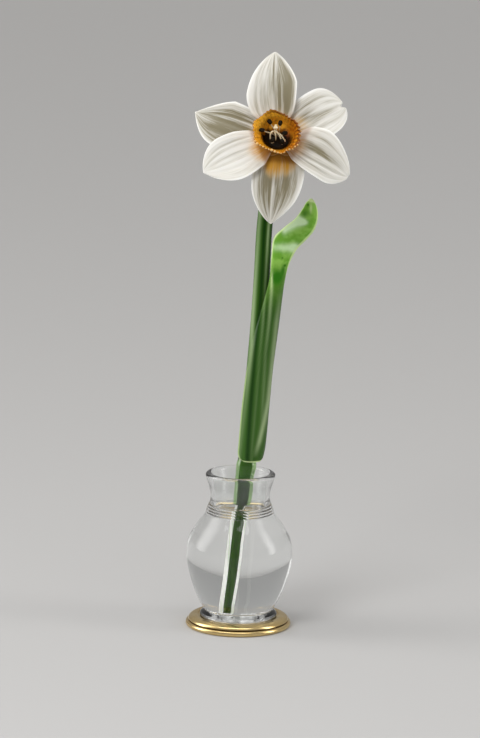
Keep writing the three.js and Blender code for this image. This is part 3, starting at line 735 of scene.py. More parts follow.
def petal_paint(s):
    """Carved cream stone with taupe streaks and an amber root, painted shade in the grooves and in clouds, a
    painted shadow beside the cup and painted highlights on the edges.
    """
    glow = {"Subsurface_Weight": 0.1, "Subsurface_Radius": (1.0, 0.8, 0.55), "Subsurface_Scale": 0.0012}
    p = Paint("petal_stone", Coat_Weight=0.25, Coat_Roughness=0.12, **glow)
    shift = p.attribute("shift")
    broad = p.streaks(7.0, 1.4, shift)
    streaks = p.scaled(broad, 0.65, p.scaled(p.streaks(24.0, 2.4, shift), 0.35))
    cream = p.mix(p.scaled(broad, 0.5), s.cream, s.warm)
    veins = p.scaled(p.span(streaks, 0.4, 0.9), 0.22)
    # Painted shade: its clouds, the grooves of the folds, and the streaks' darker veins.
    clouded = p.scaled(p.attribute("grey"), p.scaled(streaks, 1.3, 0.35), veins)
    shade = p.maths("ADD", clouded, p.attribute("cavity"), clamp=True)
    colour = p.mix(shade, cream, s.taupe)
    # Painted highlight along the edges.
    colour = p.mix(p.attribute("edge"), colour, s.edge)
    blush = p.scaled(p.attribute("blush"), p.scaled(streaks, 1.1, 0.4))
    colour = p.mix(p.scaled(p.span(blush, 0.02, 0.5), 0.4), colour, s.tint)
    colour = p.mix(p.scaled(p.span(blush, 0.2, 1.1), 0.9), colour, s.amber)
    # Painted shadow of the cup on the petals' roots.
    p.give("Base Color", p.mix(p.attribute("deep_root"), colour, s.brown))
    p.give("Roughness", p.scaled(broad, 0.12, 0.32))
    p.bump(streaks, 0.16, 0.00012)
    return p.material


def cup_paint(s):
    """Amber enamel: yellower on one side and redder, and painted darker as shade, on the other, painted light
    at the top, and painted shade that deepens to nearly black on the floor.
    """
    p = Paint("cup_enamel", Roughness=0.25, Specular_IOR_Level=0.15, Coat_Roughness=0.06)
    depth = p.attribute("depth")
    p.give("Coat Weight", p.scaled(depth, -0.45, 0.45))
    clouds = p.noise(420.0, 3.0)
    # Redder on the right, where the red is also painted darker, as shade.
    wall = p.mix(p.attribute("warmth"), s.yellow, s.red)
    wall = p.mix(p.span(clouds, 0.35, 0.75), wall, s.glow)
    # Painted light at the top of the cup.
    wall = p.mix(p.attribute("sunny"), wall, s.sunny)
    wall = p.mix(p.scaled(p.span(p.noise(1100.0, 2.0), 0.5, 0.72), 0.4), wall, s.line)
    wall = p.mix(p.scaled(p.attribute("pleat"), 0.85), wall, s.line)
    # Painted shade, deepening towards the floor, with random clouds in it.
    shadow = p.maths("ADD", depth, p.scaled(clouds, 1.3, -0.65))
    wall = p.mix(p.scaled(p.span(shadow, 0.0, 0.45), 0.8), wall, s.line)
    p.give("Base Color", p.mix(p.span(shadow, 0.35, 0.8), wall, s.floor))
    p.bump(clouds, 0.15, 0.0002)
    return p.material


def gold_paint(name, colour, smoothest, roughest, metallic):
    """Gold with a few duller patches; a lower share of metal makes it a painted, paler gold."""
    p = Paint(name, Metallic=metallic)
    polish = p.polish(smoothest, roughest, 900.0, 4000.0)
    p.give("Base Color", p.mix(p.span(polish["Patches"], 0.3, 0.7), colour, [0.72 * c for c in colour]))
    p.give("Roughness", polish["Roughness"])
    p.bump(polish["Height"], 0.1, 0.00005)
    return p.material


def anther_paint(s):
    """Dark grains with a dusting of olive pollen."""
    p = Paint("anther_grain", Specular_IOR_Level=0.1)
    polish = p.polish(0.35, 0.6, 1400.0, 5000.0)
    p.give("Base Color", p.mix(p.span(polish["Height"], 0.56, 0.7), s.dark, s.pollen))
    p.give("Roughness", polish["Roughness"])
    p.bump(polish["Height"], 0.3, 0.00008)
    return p.material


def tube_paint(s):
    """The glazed tube behind the petals: cream by the petals and green towards the stem."""
    p = Paint("tube_glaze", Roughness=0.28, Coat_Weight=0.4, Coat_Roughness=0.1)
    colour = p.mix(p.attribute("along"), s.green, s.pale)
    colour = p.mix(p.scaled(p.streaks(9.0, 1.2, 8.0), 0.35), colour, s.green)
    p.give("Base Color", p.mix(p.attribute("front"), colour, s.hub))
    return p.material


# ---- Settings -----------------------------------------------------------------------------------


def colour_setting(name, description, default):
    limits = {"size": 3, "min": 0, "max": 1, "subtype": "COLOR"}
    return bpy.props.FloatVectorProperty(name=name, description=description, default=default, **limits)


def number_setting(name, description, default, **limits):
    return bpy.props.FloatProperty(name=name, description=description, default=default, min=0, **limits)


def length_setting(name, description, default):
    return number_setting(name, description, default, unit="LENGTH")


def count_setting(name, description, default, low):
    return bpy.props.IntProperty(name=name, description=description, default=default, min=low)


def share_setting(name, description, default):
    return number_setting(name, description, default, max=1)


class NarcissusBaseSettings(bpy.types.PropertyGroup):
    segments: count_setting("Segments", "Divisions round the gilt base", 160, 24)
    gold: colour_setting("Gold", "Main colour of the gilt", (0.78, 0.6, 0.29))
    gold_warm: colour_setting("Warm gold", "Colour of the gilt's warmer patches", (0.72, 0.52, 0.22))
    # The groove's colour is painted shade.
    groove: colour_setting("Groove", "Colour of the gilt in the groove", (0.16, 0.09, 0.02))


class NarcissusVaseSettings(bpy.types.PropertyGroup):
    segments: count_setting("Segments", "Divisions round the crystal vase", 144, 24)
    tint: colour_setting("Tint", "Tint of the crystal", (0.97, 0.985, 0.98))
    waviness: share_setting("Waviness", "How wavy the polished crystal is", 0.05)
    # The slats' white is a painted reflection.
    opal: colour_setting("Opal", "Colour of the slats beside the stem's foot", (0.93, 0.94, 0.9))
    opal_shade: colour_setting("Opal shade", "Thin greener threads in the slats", (0.5, 0.58, 0.44))
    # Painted light: how brightly the slats glow by themselves.
    opal_glow: share_setting("Opal glow", "Light that the slats gather from the crystal", 0.45)


class NarcissusStemSettings(bpy.types.PropertyGroup):
    sides: count_setting("Sides", "Divisions round the stem", 48, 12)
    core_share: share_setting("Core", "Share of the stem that is green core, below the sheath", 0.42)
    # Also the colour of the painted shade bands.
    deep: colour_setting("Deep green", "Dark threads of the stem", (0.004, 0.035, 0.0002))
    green: colour_setting("Green", "Main green of the stem", (0.04, 0.125, 0.006))
    # The colour of the painted highlight bands.
    pale: colour_setting("Pale green", "Light threads of the stem", (0.28, 0.38, 0.19))
    # The core's colour there is painted light.
    bright: colour_setting("Bright green", "Green of the core below the sheath", (0.13, 0.33, 0.012))
    casing: colour_setting("Casing", "Tint of the clear casing", (0.42, 0.66, 0.28))


class NarcissusLeafSettings(bpy.types.PropertyGroup):
    thickness: length_setting("Thickness", "Thickness of the leaf", 0.9 * MM)
    # Also the colour of the painted shade bands.
    deep: colour_setting("Deep green", "Dark threads of the sheath", (0.004, 0.032, 0.0003))
    sheath: colour_setting("Sheath green", "Main green of the sheath", (0.032, 0.095, 0.012))
    sheath_light: colour_setting("Light sheath", "Light streaks of the sheath", (0.085, 0.2, 0.03))
    # The colour of the painted highlight bands.
    sheath_pale: colour_setting("Pale sheath", "Light threads of the sheath", (0.3, 0.4, 0.2))
    blade: colour_setting("Blade green", "Main green of the free blade", (0.16, 0.42, 0.03))
    blade_bright: colour_setting("Bright green", "Brighter clouds of the blade", (0.27, 0.56, 0.07))
    # The colour of the painted reflection bands.
    blade_pale: colour_setting("Pale green", "Pale bands across the blade", (0.74, 0.98, 0.6))
    patch: colour_setting("Patch green", "Deep patches of the blade and its tip", (0.025, 0.17, 0.001))
    # The colour of the painted edge highlights and glints.
    edge: colour_setting("Edge", "Thin pale line along the edges", (0.72, 0.9, 0.42))


class NarcissusPetalSettings(bpy.types.PropertyGroup):
    thickness: length_setting("Thickness", "Thickness of a petal at its middle", 1.0 * MM)
    relief: number_setting("Relief", "Depth of the folds", 1.0)
    cream: colour_setting("Cream", "Main colour of the stone", (0.76, 0.75, 0.71))
    warm: colour_setting("Warm cream", "Colour of the stone's warmer clouds", (0.67, 0.64, 0.55))
    # The colour of the painted shade in the grooves and clouds, and of the veins.
    taupe: colour_setting("Taupe", "Colour in the grooves", (0.2, 0.175, 0.105))
    # The colour of the painted highlight on the edges.
    edge: colour_setting("Edge", "Colour of the thin edges", (0.9, 0.89, 0.85))
    tint: colour_setting("Tint", "Faint gold between the amber and the cream", (0.7, 0.48, 0.22))
    amber: colour_setting("Amber", "Blush at the petals' roots", (0.58, 0.29, 0.015))
    # The colour of the painted shadow beside the cup.
    brown: colour_setting("Brown", "Deep root beside the cup", (0.26, 0.1, 0.006))


class NarcissusCupSettings(bpy.types.PropertyGroup):
    around: count_setting("Around", "Divisions round the cup", 288, 48)
    beads: count_setting("Beads", "How many beads edge the cup", 46, 12)
    bead_radius: length_setting("Bead radius", "Radius of a bead of the cup's rim", 0.4 * MM)
    yellow: colour_setting("Yellow amber", "Enamel on the light side", (0.8, 0.34, 0.012))
    # Redder colour, also painted darker as shade.
    red: colour_setting("Red amber", "Enamel on the red side", (0.5, 0.145, 0.005))
    glow: colour_setting("Glow", "Brighter clouds in the enamel", (0.9, 0.42, 0.03))
    # Painted light at the top of the cup.
    sunny: colour_setting("Sunny side", "Enamel at the top of the cup", (1.0, 0.52, 0.04))
    line: colour_setting("Pleat line", "Dark lines between the pleats", (0.13, 0.03, 0.003))
    # The colour of the painted shade on the floor.
    floor: colour_setting("Floor", "Enamel on the cup's floor", (0.012, 0.006, 0.003))
    gold: colour_setting("Gold", "Colour of the beads", (0.9, 0.55, 0.2))


class NarcissusStamenSettings(bpy.types.PropertyGroup):
    wire_radius: length_setting("Wire radius", "Radius of a gold filament", 0.37 * MM)
    gold: colour_setting("Gold", "Colour of the filaments", (0.93, 0.82, 0.56))
    dark: colour_setting("Dark", "Colour of the anthers", (0.006, 0.004, 0.003))
    pollen: colour_setting("Pollen", "Dust on the anthers", (0.05, 0.04, 0.012))


class NarcissusTubeSettings(bpy.types.PropertyGroup):
    pale: colour_setting("Pale", "Glaze by the petals", (0.72, 0.72, 0.52))
    green: colour_setting("Green", "Glaze by the stem", (0.2, 0.33, 0.07))
    hub: colour_setting("Hub", "Glaze between the petals' roots", (0.3, 0.13, 0.01))


class NarcissusStageSettings(bpy.types.PropertyGroup):
    floor: colour_setting("Floor", "Colour of the floor", (0.5, 0.495, 0.49))
    ambient: number_setting("Ambient", "Light of the room", 0.3)
    left: number_setting("Left", "Glow of the left softbox", 4.0)
    right: number_setting("Right", "Glow of the right strip", 4.0)
    key: number_setting("Key", "Power of the near softboxes", 8)


# ---- Base and vase ------------------------------------------------------------------------------


def settings_of(context, name):
    return getattr(context.scene, "narcissus_" + name)


class NARCISSUS_OT_base(bpy.types.Operator):
    """Turn the gilt base: a rounded ring, a groove darkened with painted shade, and a domed step"""

    bl_idname = "narcissus.base"
    bl_label = "Gilt Base"

    def execute(self, context):
        s = settings_of(context, "base")
        obj = turned_piece("gilt_base_turned", base_profile(), s.segments, gilt_paint(s))
        store_cavity(obj.data)
        finish_piece(obj, "gilt_metal", "gilt_base")
        return {"FINISHED"}


def base_profile():
    """The base from the middle of its underside to the middle of the vase's seat."""
    step_radius = BASE_RADIUS - 0.9
    half_ring = BASE_RING_HEIGHT / 2
    groove_top = GROOVE_HEIGHT + GROOVE_HALF_HEIGHT
    dome_middle = SEAT_RADIUS + 0.6
    profile = [(0, 0), (step_radius - 0.6, 0)]
    profile += arc((BASE_RADIUS - 0.95, half_ring), (0.95, half_ring), -80, 80, 16)
    profile += arc((GROOVE_RADIUS + 0.2, GROOVE_HEIGHT), (0.2, GROOVE_HALF_HEIGHT), 270, 90, 8)
    profile += arc((dome_middle, groove_top), (step_radius - dome_middle, BASE_CROWN - groove_top), 4, 90, 16)
    profile += arc((SEAT_RADIUS + 0.2, BASE_CROWN - 0.15), (0.2, 0.15), 90, 180, 4)
    return profile + [(SEAT_RADIUS, SEAT_HEIGHT), (0, SEAT_HEIGHT)]


def store_cavity(mesh):
    """Marks the base's groove for painted shade, 1 at its bottom and fading out within a millimetre."""
    x, y, z = mesh_places(mesh).T
    away = np.hypot(np.hypot(x, y) - GROOVE_RADIUS, z - GROOVE_HEIGHT)
    store(mesh, "cavity", 1 - smoothstep(0.15, 0.75, away))


class NARCISSUS_OT_vase(bpy.types.Operator):
    """Turn the crystal vase and seal the opal slats of the stem's foot in it, as glowing painted reflections
    """

    bl_idname = "narcissus.vase"
    bl_label = "Crystal Vase"

    def execute(self, context):
        s = settings_of(context, "vase")
        crystal = crystal_paint("clear_crystal", s.tint, s.waviness)
        vase = turned_piece("crystal_body", vase_profile(), s.segments, crystal, sharp=32)
        finish_piece(vase, "crystal", "crystal_vase")
        slats = new_object("reflection_slats", slats_mesh("reflection_slats"), opal_paint(s))
        finish_piece(slats, "crystal")
        return {"FINISHED"}


def vase_profile():
    """The vase from the middle of its foot, round the lip, to the middle of the water line."""
    foot = SEAT_HEIGHT + FOOT_CLEARANCE
    profile = [(0, foot), (13.7, foot)]
    profile += arc((13.7, foot + 0.55), (0.5, 0.55), -80, 60, 8)
    profile += spline([
        (13.9, 5.0), (13.3, 5.6), (12.75, 6.2), (12.95, 6.9), (14.8, 9.6), (16.3, 13.2), (17.6, 17.2),
        (19.0, 22.6), (VASE_RADIUS, 27.0), (VASE_RADIUS - 0.75, 32.6), (16.6, 36.8), (13.9, 40.6),
        (12.6, 42.4),
    ], 72)
    for radius, height in COLLAR_RINGS:
        profile += arc((radius - 0.25, height), (0.4, 0.42), -75, 75, 6)
    profile += spline([
        (11.2, 46.5), (10.9, 47.6), (10.9, 49.0), (11.4, 51.8), (12.2, 54.4), (12.75, 56.2),
    ], 20)
    profile += arc((11.45, RIM_HEIGHT - 1.0), (1.35, 1.0), 8, 172, 14)
    profile += spline([
        (10.05, 56.2), (9.6, 53.5), (9.25, 50.0), (9.2, 47.0), (9.35, 45.6), (9.1, 44.8), (8.6, WATER_HEIGHT),
    ], 24)
    return profile + [(0, WATER_HEIGHT)]


def slats_mesh(name):
    """Two thin opal slats, painted reflections sealed in the crystal beside the stem's foot, turned a little
    sideways.
    """
    points, faces = [], []
    for slat in SLATS:
        for end, (inner, outer) in zip((FOOT_BOTTOM, FOOT_TOP), slat):
            for out in (inner, outer):
                for deep in (-SLAT_HALF_THICKNESS, SLAT_HALF_THICKNESS):
                    points.append(end + Vector((out, abs(out - inner) * SLAT_TURN + deep, 0)))
        first = len(points) - 8
        for face in ((0, 1, 3, 2), (4, 6, 7, 5), (0, 2, 6, 4), (1, 5, 7, 3), (0, 4, 5, 1), (2, 3, 7, 6)):
            faces.append([first + corner for corner in face])
    mesh = mesh_from(name, points, faces)
    make_outward(mesh)
    return mesh


# ---- Stem and leaf ------------------------------------------------------------------------------


def stem_axis(height):
    """How far to the side the stem's axis lies, at each height."""
    line = smooth_curve(STEM_STATIONS, np.linspace(0, 1, 120))
    return np.interp(height, line[:, 2], line[:, 0])


def threads(tone, beside, height):
    """How strongly the painted shade (dark) or the painted highlights (light) show at each place."""
    total = np.zeros_like(beside)
    for its_tone, width, stations in PAINTED_BANDS:
        if its_tone == tone:
            heights, places, strengths = np.array(stations).T
            away = (beside - np.interp(height, heights, places)) / width
            total += np.interp(height, heights, strengths) * np.exp(-(away**2))
    return np.clip(total, 0, 1)


class NARCISSUS_OT_stem(bpy.types.Operator):
    """Sweep the stem's green core and the clear casing round it"""

    bl_idname = "narcissus.stem"
    bl_label = "Stem"

    def execute(self, context):
        s = settings_of(context, "stem")
        ovary = [(*behind_head(distance), radius) for distance, radius in OVARY_BEHIND]
        whole = smooth_curve(STEM_STATIONS + ovary, np.linspace(0, 1, STEM_POINTS))
        core = whole.copy()
        core[:, 3] *= lerp(s.core_share, 1.0, smoothstep(*CORE_WIDENS, core[:, 2]))
        # The foot takes the place of the core's first two rows.
        foot = smooth_curve(FOOT_STATIONS, np.linspace(0, 1, FOOT_POINTS))
        obj = rods("stem_core", [np.vstack([foot, core[2:]])], s.sides, core_paint(s))
        x, _, z = mesh_places(obj.data).T
        # Painted shade and highlight bands, placed beside the stem's axis.
        for tone in ("dark", "light"):
            store(obj.data, tone, threads(tone, x - stem_axis(z), z) * smoothstep(*PAINTED_BANDS_FADE_IN, z))
        finish_piece(obj, "stem_green", "stem")
        casing = crystal_paint("clear_casing", s.casing, 0.01)
        obj = rods("stem_casing", [whole[whole[:, 2] < CORE_WIDENS[1]]], s.sides, casing)
        finish_piece(obj, "stem_green", "stem")
        return {"FINISHED"}


def leaf_place(thickness):
    """The leaf's surface: an arc from edge to edge that bows round the stem, and then flattens."""

    def place(across, along, side):
        shares, which = np.unique(along, return_inverse=True)
        rows = smooth_curve(LEAF_STATIONS, shares)
        later = smooth_curve(LEAF_STATIONS, np.clip(shares + 0.002, 0, 1))
        earlier = smooth_curve(LEAF_STATIONS, np.clip(shares - 0.002, 0, 1))
        run = (later - earlier)[:, :3] + (later - earlier)[:, 3:6]
        chord = rows[:, 3:6] - rows[:, :3]
        width = np.linalg.norm(chord, axis=1, keepdims=True)
        chord /= width
        outward = np.cross(chord, run)
        outward /= np.linalg.norm(outward, axis=1, keepdims=True)
        half = width[:, 0] / 2
        rise = rows[:, 6]
        radius = (half**2 + rise**2) / (2 * rise)
        half_angle = 2 * np.arctan(rise / half)
        middle = (rows[:, :3] + rows[:, 3:6]) / 2
        middle, chord, outward = middle[which], chord[which], outward[which]
        radius, half_angle = radius[which], half_angle[which]
        angle = across * half_angle * rows[which, 7] * round_end(along)
        ribs = 0.05 * np.cos(9 * math.pi * across) * (1 - across**2)
        free_edge = smoothstep(0.26, 0.3, along) * smoothstep(0.66, 0.58, along) * (across < 0)
        thin = 1 - 0.25 * across**2 - 0.65 * free_edge * across**6
        shell = radius + side * thickness / 2 * thin + ribs
        away = shell * np.cos(angle) - radius * np.cos(half_angle)
        return middle + outward * away[:, None] + chord * (shell * np.sin(angle))[:, None]

    return place


def round_end(along):
    """Closes the leaf's tip to a point over its last stretch."""
    return np.sqrt(np.clip(1 - smoothstep(0.985, 1.0, along), 0, 1))


def upper_band(x, z):
    """The painted reflection band across the blade below its tip."""
    places, middles, heights = np.array(UPPER_REFLECTION).T
    away = (z - np.interp(x, places, middles)) / np.interp(x, places, heights)
    return np.exp(-(away**2)) * smoothstep(12.5, 14.5, x) * smoothstep(23.8, 21.0, x)


def leaf_marks(across, along, points):
    """Where the leaf's colours change. Its painted light and shade, its painted reflections and its patches
    lie level and follow x and z.
    """
    x, z = points[:, 0], points[:, 2]
    free = smoothstep(0.46, 0.62, along)
    beside = x - stem_axis(z)
    crossing = smoothstep(0.3, 0.36, along) * smoothstep(0.62, 0.54, along) * (across < 0)
    start = lerp(0.75, np.where(across > 0, 0.74, 0.84), free)
    # Painted highlight along the edges, left off where the leaf crosses in front of the stem.
    rim = smoothstep(0, 0.1, np.abs(across) - start) * (1 - crossing) * lerp(0.5, 1.0, free)
    # Painted highlights at both ends.
    ends = smoothstep(0.95, 0.975, along) + smoothstep(0.055, 0.0, along)
    return {
        "across": across,
        "along": along,
        # Painted shade and highlight bands, placed beside the stem's axis.
        "dark": threads("dark", beside, z),
        "light": threads("light", beside, z),
        # Painted highlights: along the edges, at both ends and in the glints.
        "edge": np.clip(0.85 * rim + ends + blots(GLINTS, x, z), 0, 1),
        "free": free,
        # Painted reflection bands across the blade.
        "pale": np.clip(1.5 * upper_band(x, z) + 0.9 * blots(LOWER_REFLECTION, x, z), 0, 1),
        "patch": blots(PATCHES, x, z),
    }


class NARCISSUS_OT_leaf(bpy.types.Operator):
    """Shape the leaf: a sheath round the stem that turns out into a short blade"""

    bl_idname = "narcissus.leaf"
    bl_label = "Leaf"

    def execute(self, context):
        s = settings_of(context, "leaf")
        # The rows stand closer together at both rounded ends.
        lower, upper = np.linspace(0, 0.06, 12), np.linspace(0.965, 1, 16)
        shares = np.concatenate([lower, np.linspace(0.07, 0.96, 110), upper])
        mesh = shell_mesh("leaf_blade", leaf_place(s.thickness / MM), LEAF_COLUMNS, shares, leaf_marks)
        finish_piece(new_object("leaf_blade", mesh, leaf_paint(s)), "leaf_green", "leaf")
        return {"FINISHED"}


# ---- Tube and petals ----------------------------------------------------------------------------


class NARCISSUS_OT_tube(bpy.types.Operator):
    """Turn the ribbed tube behind the petals, with the thin plate that joins their roots"""

    bl_idname = "narcissus.tube"
    bl_label = "Flower Tube"

    def execute(self, context):
        s = settings_of(context, "tube")
        obj = turned_piece("tube_turned", tube_profile(), TUBE_SEGMENTS, tube_paint(s))
        places = mesh_places(obj.data)
        x, y, z = places.T
        angle = np.arctan2(y, x)
        along = np.clip((z + TUBE_LENGTH) / TUBE_LENGTH, 0, 1)
        ribs = 0.035 * np.cos(6 * angle) * smoothstep(0.0, 0.25, along) * smoothstep(1.0, 0.8, along)
        lobes = 0.12 * np.cos(6 * (angle - PLATE_TURN)) * smoothstep(4.8, 6.2, np.hypot(x, y))
        front = smoothstep(0.0, 0.2, z)
        places[:, :2] *= (1 + ribs + lobes)[:, None]
        obj.data.vertices.foreach_set("co", (in_head(places) * MM).ravel())
        obj.data.update()
        store(obj.data, "across", np.sin(angle))
        store(obj.data, "along", along)
        store(obj.data, "front", front)
        finish_piece(obj, "pale_tube", "flower_tube")
        return {"FINISHED"}


def tube_profile():
    """The tube along the head's axis, from the stem's end to the plate in front of the petals' roots."""
    profile = [(0, -TUBE_LENGTH), (2.3, -TUBE_LENGTH)]
    profile += spline([
        (2.3, -TUBE_LENGTH), (2.65, -12.6), (2.6, -8.0), (2.95, -4.6), (3.8, -2.5), (4.2, -1.4),
    ], 30)
    profile += spline([
        (4.2, -1.4), (4.5, -0.6), (5.0, -0.1), (5.8, 0.05), (6.25, 0.12), (6.4, 0.3), (6.25, 0.48),
        (5.5, 0.6), (4.6, 0.8), (4.1, 1.5), (3.8, 1.6),
    ], 44)[1:]
    return profile + [(0, 1.6)]


def petal_half_width(outline, u):
    """How wide a petal is on one side, at a share u of its length from the flower's centre."""
    width, widest, swell, bluntness = outline
    opening = np.sin(math.pi / 2 * np.clip(u / widest, 0, 1))
    pinch = 0.72 + 0.28 * smoothstep(0.14, 0.3, u)
    rising = width * pinch * (0.34 + 0.66 * opening)
    past = np.clip((u - widest) / (1 - widest), 0, 1)
    falling = width * (1 - past**swell) ** bluntness
    return np.where(u < widest, rising, falling)


def petal_folds(petal, across, along):
    """The carved relief of a petal in millimetres, below zero in its grooves."""
    relief = np.zeros_like(across)
    for i, (middle, width, height) in enumerate(petal["folds"]):
        wander = 0.04 * np.sin(4 * along + 2.1 * i)
        start = smoothstep(0.02 + 0.05 * (i % 3), 0.22 + 0.06 * (i % 3), along)
        end = 1 - smoothstep(0.72 + 0.07 * (i % 4), 0.98, along)
        relief += height * np.exp(-(((across - middle - wander) / width) ** 2)) * start * end
    turn = petal["turn"]
    fine = np.sin(17 * across + 3 * along + turn) + np.sin(23 * across - 2 * along + 2 * turn)
    fine += 0.7 * np.sin(37 * across + 4 * along + 3 * turn)
    return relief + 0.014 * fine * np.sin(math.pi * along) * (1 - across**2)


def petal_place(petal, thickness, relief_scale):
    """The petal's surface: from its root it rises, bends back at the tip and carries its folds."""

    def place(across, along, side):
        reach = lerp(PETAL_ROOT, petal["length"], along)
        u = reach / petal["length"]
        half = np.where(across < 0, petal_half_width(petal["left"], u), petal_half_width(petal["right"], u))
        half = half * (1 + 0.018 * np.sin(9 * along + petal["turn"] + across) * smoothstep(0.2, 0.5, along))
        x = across * half
        notch = petal["notch"] * np.exp(-((x / 0.7) ** 2)) * along**12
        middle = np.sin(math.pi * along)
        layer = petal["layer"] * (1.0 + 0.035 * reach)
        height = layer + 1.3 * middle - 2.6 * u**3 + 0.9 * across**2 * middle
        height += relief_scale * petal_folds(petal, across, along) * (1 - across**8)
        rounded = np.sqrt(np.clip(1 - along**14, 0, 1))
        height += side * rounded * thickness / 2 * (1 - 0.4 * across**2)
        spin = np.array(Matrix.Rotation(-math.radians(petal["turn"]), 3, "Z"))
        return in_head(np.stack([x, reach - notch, height], axis=1) @ spin.T)

    return place


def petal_marks(petal):
    """Where the petal's colours change: painted shade in its grooves and clouds, painted highlights on its
    edges, its blush, and a painted shadow beside the cup.
    """

    def marks(across, along, points):
        reach = lerp(PETAL_ROOT, petal["length"], along)
        # Painted highlight along the edges and round the tip.
        edge = np.maximum(smoothstep(0.88, 0.98, np.abs(across)), smoothstep(0.975, 1.0, along))
        blush_reach, strength, lean = petal["blush"]
        limit = blush_reach + lean * across - 8.0 * across**2
        return {
            "across": across,
            "along": along,
            "shift": np.full_like(across, petal["turn"]),
            # Painted shade in the grooves of the folds.
            "cavity": np.clip(-1.3 * petal_folds(petal, across, along), 0, 0.5),
            # Clouds of painted shade.
            "grey": blots(petal["shade_clouds"], across, along),
            "edge": 0.85 * edge * smoothstep(0.15, 0.35, along),
            "blush": strength * smoothstep(limit + 3.0, limit - 5.5, reach),
            # Painted shadow beside the cup.
            "deep_root": 0.75 * min(1, strength) * smoothstep(9.5, 7.5, reach),
        }

    return marks


class NARCISSUS_OT_petals(bpy.types.Operator):
    """Carve the six petals, each with its own outline and folds"""

    bl_idname = "narcissus.petals"
    bl_label = "Petals"

    def execute(self, context):
        s = settings_of(context, "petal")
        paint = petal_paint(s)
        # The rows stand closer together towards the rounded tip.
        shares = 1 - (1 - np.linspace(0, 1, PETAL_ROWS)) ** 1.7
        for name, petal in PETALS.items():
            place = petal_place(petal, s.thickness / MM, s.relief)
            mesh = shell_mesh("carved_" + name, place, PETAL_COLUMNS, shares, petal_marks(petal))
            finish_piece(new_object("carved_" + name, mesh, paint), "petal_white", "petal_" + name)
        return {"FINISHED"}


# ---- Cup and stamens ----------------------------------------------------------------------------


def cup_wave(radius, height, angle):
    """Bends a round cup out to its uneven rim, with fine pleats towards it."""
    share = np.clip((height - CUP_FLOOR) / (CUP_RIM - CUP_FLOOR), 0, 1)
    stations = np.array(CUP_RIM_STATIONS, float)
    around = np.concatenate([stations - (360, 0), stations, stations + (360, 0)])
    rim = np.interp(np.degrees(angle) % 360, around[:, 0], around[:, 1])
    lobe = rim / CUP_RIM_RADIUS - 1
    fine = 0.012 * np.cos(36 * angle) * share**2 + cup_pleats(angle) * 0.035 * share
    reach = radius * (1 + share**2 * lobe + fine)
    return np.stack([reach * np.cos(angle), reach * np.sin(angle), height + 1.6 * share**4 * lobe], axis=1)


def cup_pleats(angle):
    """The pleats, strong on the right side of the cup and faint elsewhere."""
    right = np.exp(-((np.arctan2(np.sin(angle), np.cos(angle)) / 0.9) ** 2))
    return np.cos(30 * angle) * (0.25 + 0.75 * right)


def cup_profile():
    """The cup's wall, from the middle of its back over the rim to the middle of its floor."""
    top = CUP_RIM - 0.3
    profile = [(0, CUP_BACK), (4.2, CUP_BACK)]
    profile += spline([
        (4.2, CUP_BACK), (4.7, 2.1), (5.3, 2.8), (6.2, 4.6), (6.7, 6.2), (7.05, 7.6), (7.6, 9.0),
        (CUP_RIM_RADIUS, top),
    ], 34)[1:]
    profile += arc((CUP_RIM_RADIUS - 0.28, top), (0.28, 0.3), 20, 165, 8)
    profile += spline([
        (7.5, 9.9), (6.85, 8.6), (6.3, 7.4), (5.85, 5.9), (5.4, 4.8), (4.8, 3.5), (3.9, CUP_FLOOR),
    ], 40)
    return np.array(profile + [(0.0, CUP_FLOOR)])


def cup_mesh(name, around):
    """The cup turned from its profile and waved, with the marks that its enamel reads."""
    profile = cup_profile()
    wall = profile[1:-1]
    inner = np.arange(len(wall)) > np.argmax(wall[:, 1])
    turn = np.linspace(0, 2 * math.pi, around, endpoint=False)
    radius = np.append(np.repeat(wall[:, 0], around), [0, 0])
    level = np.append(np.repeat(wall[:, 1], around), profile[[0, -1], 1])
    angle = np.append(np.tile(turn, len(wall)), [0, 0])
    inside = np.append(np.repeat(inner, around), [False, True])
    points = cup_wave(radius, level, angle)
    mesh = closed_mesh(name, in_head(points), len(wall), around)
    x, y, z = points.T
    height = (z - CUP_FLOOR) / (CUP_RIM - CUP_FLOOR)
    off_centre = np.hypot((x + 0.8) / 4.8, (y + 1.3) / 3.9)
    pleat = np.clip(-cup_pleats(angle), 0, 1) * smoothstep(0.3, 0.7, height)
    right = smoothstep(-0.5, 0.5, np.cos(angle - 0.6))
    rim_line = smoothstep(0.82, 0.9, height) * lerp(0.9, right, inside)
    # How deep a place lies in the painted shade towards the cup's floor.
    store(mesh, "depth", smoothstep(1.4, 0.72, off_centre) * smoothstep(0.7, 0.25, height) * inside)
    # The red side, also painted darker as shade.
    store(mesh, "warmth", smoothstep(-0.8, 0.7, np.cos(angle - 0.2)))
    # Painted light at the top of the cup.
    store(mesh, "sunny", smoothstep(0.1, 0.9, np.cos(angle - math.radians(112))) * inside)
    store(mesh, "pleat", np.maximum(pleat, rim_line))
    return mesh


def rim_line_mesh(name):
    """The line that the beads follow, with how large they are at each place round the rim."""
    turn = np.linspace(0, 2 * math.pi, RIM_POINTS, endpoint=False)
    rim = cup_wave(np.full_like(turn, CUP_RIM_RADIUS - 0.25), np.full_like(turn, CUP_RIM - 0.05), turn)
    line = mesh_from(name, in_head(rim), [], [(i, (i + 1) % RIM_POINTS) for i in range(RIM_POINTS)])
    large = 0.58 + 0.46 * np.cos(turn - math.radians(250))
    store(line, "bead_size", large * (1 + 0.35 * np.sin(7 * turn + 1)))
    return line


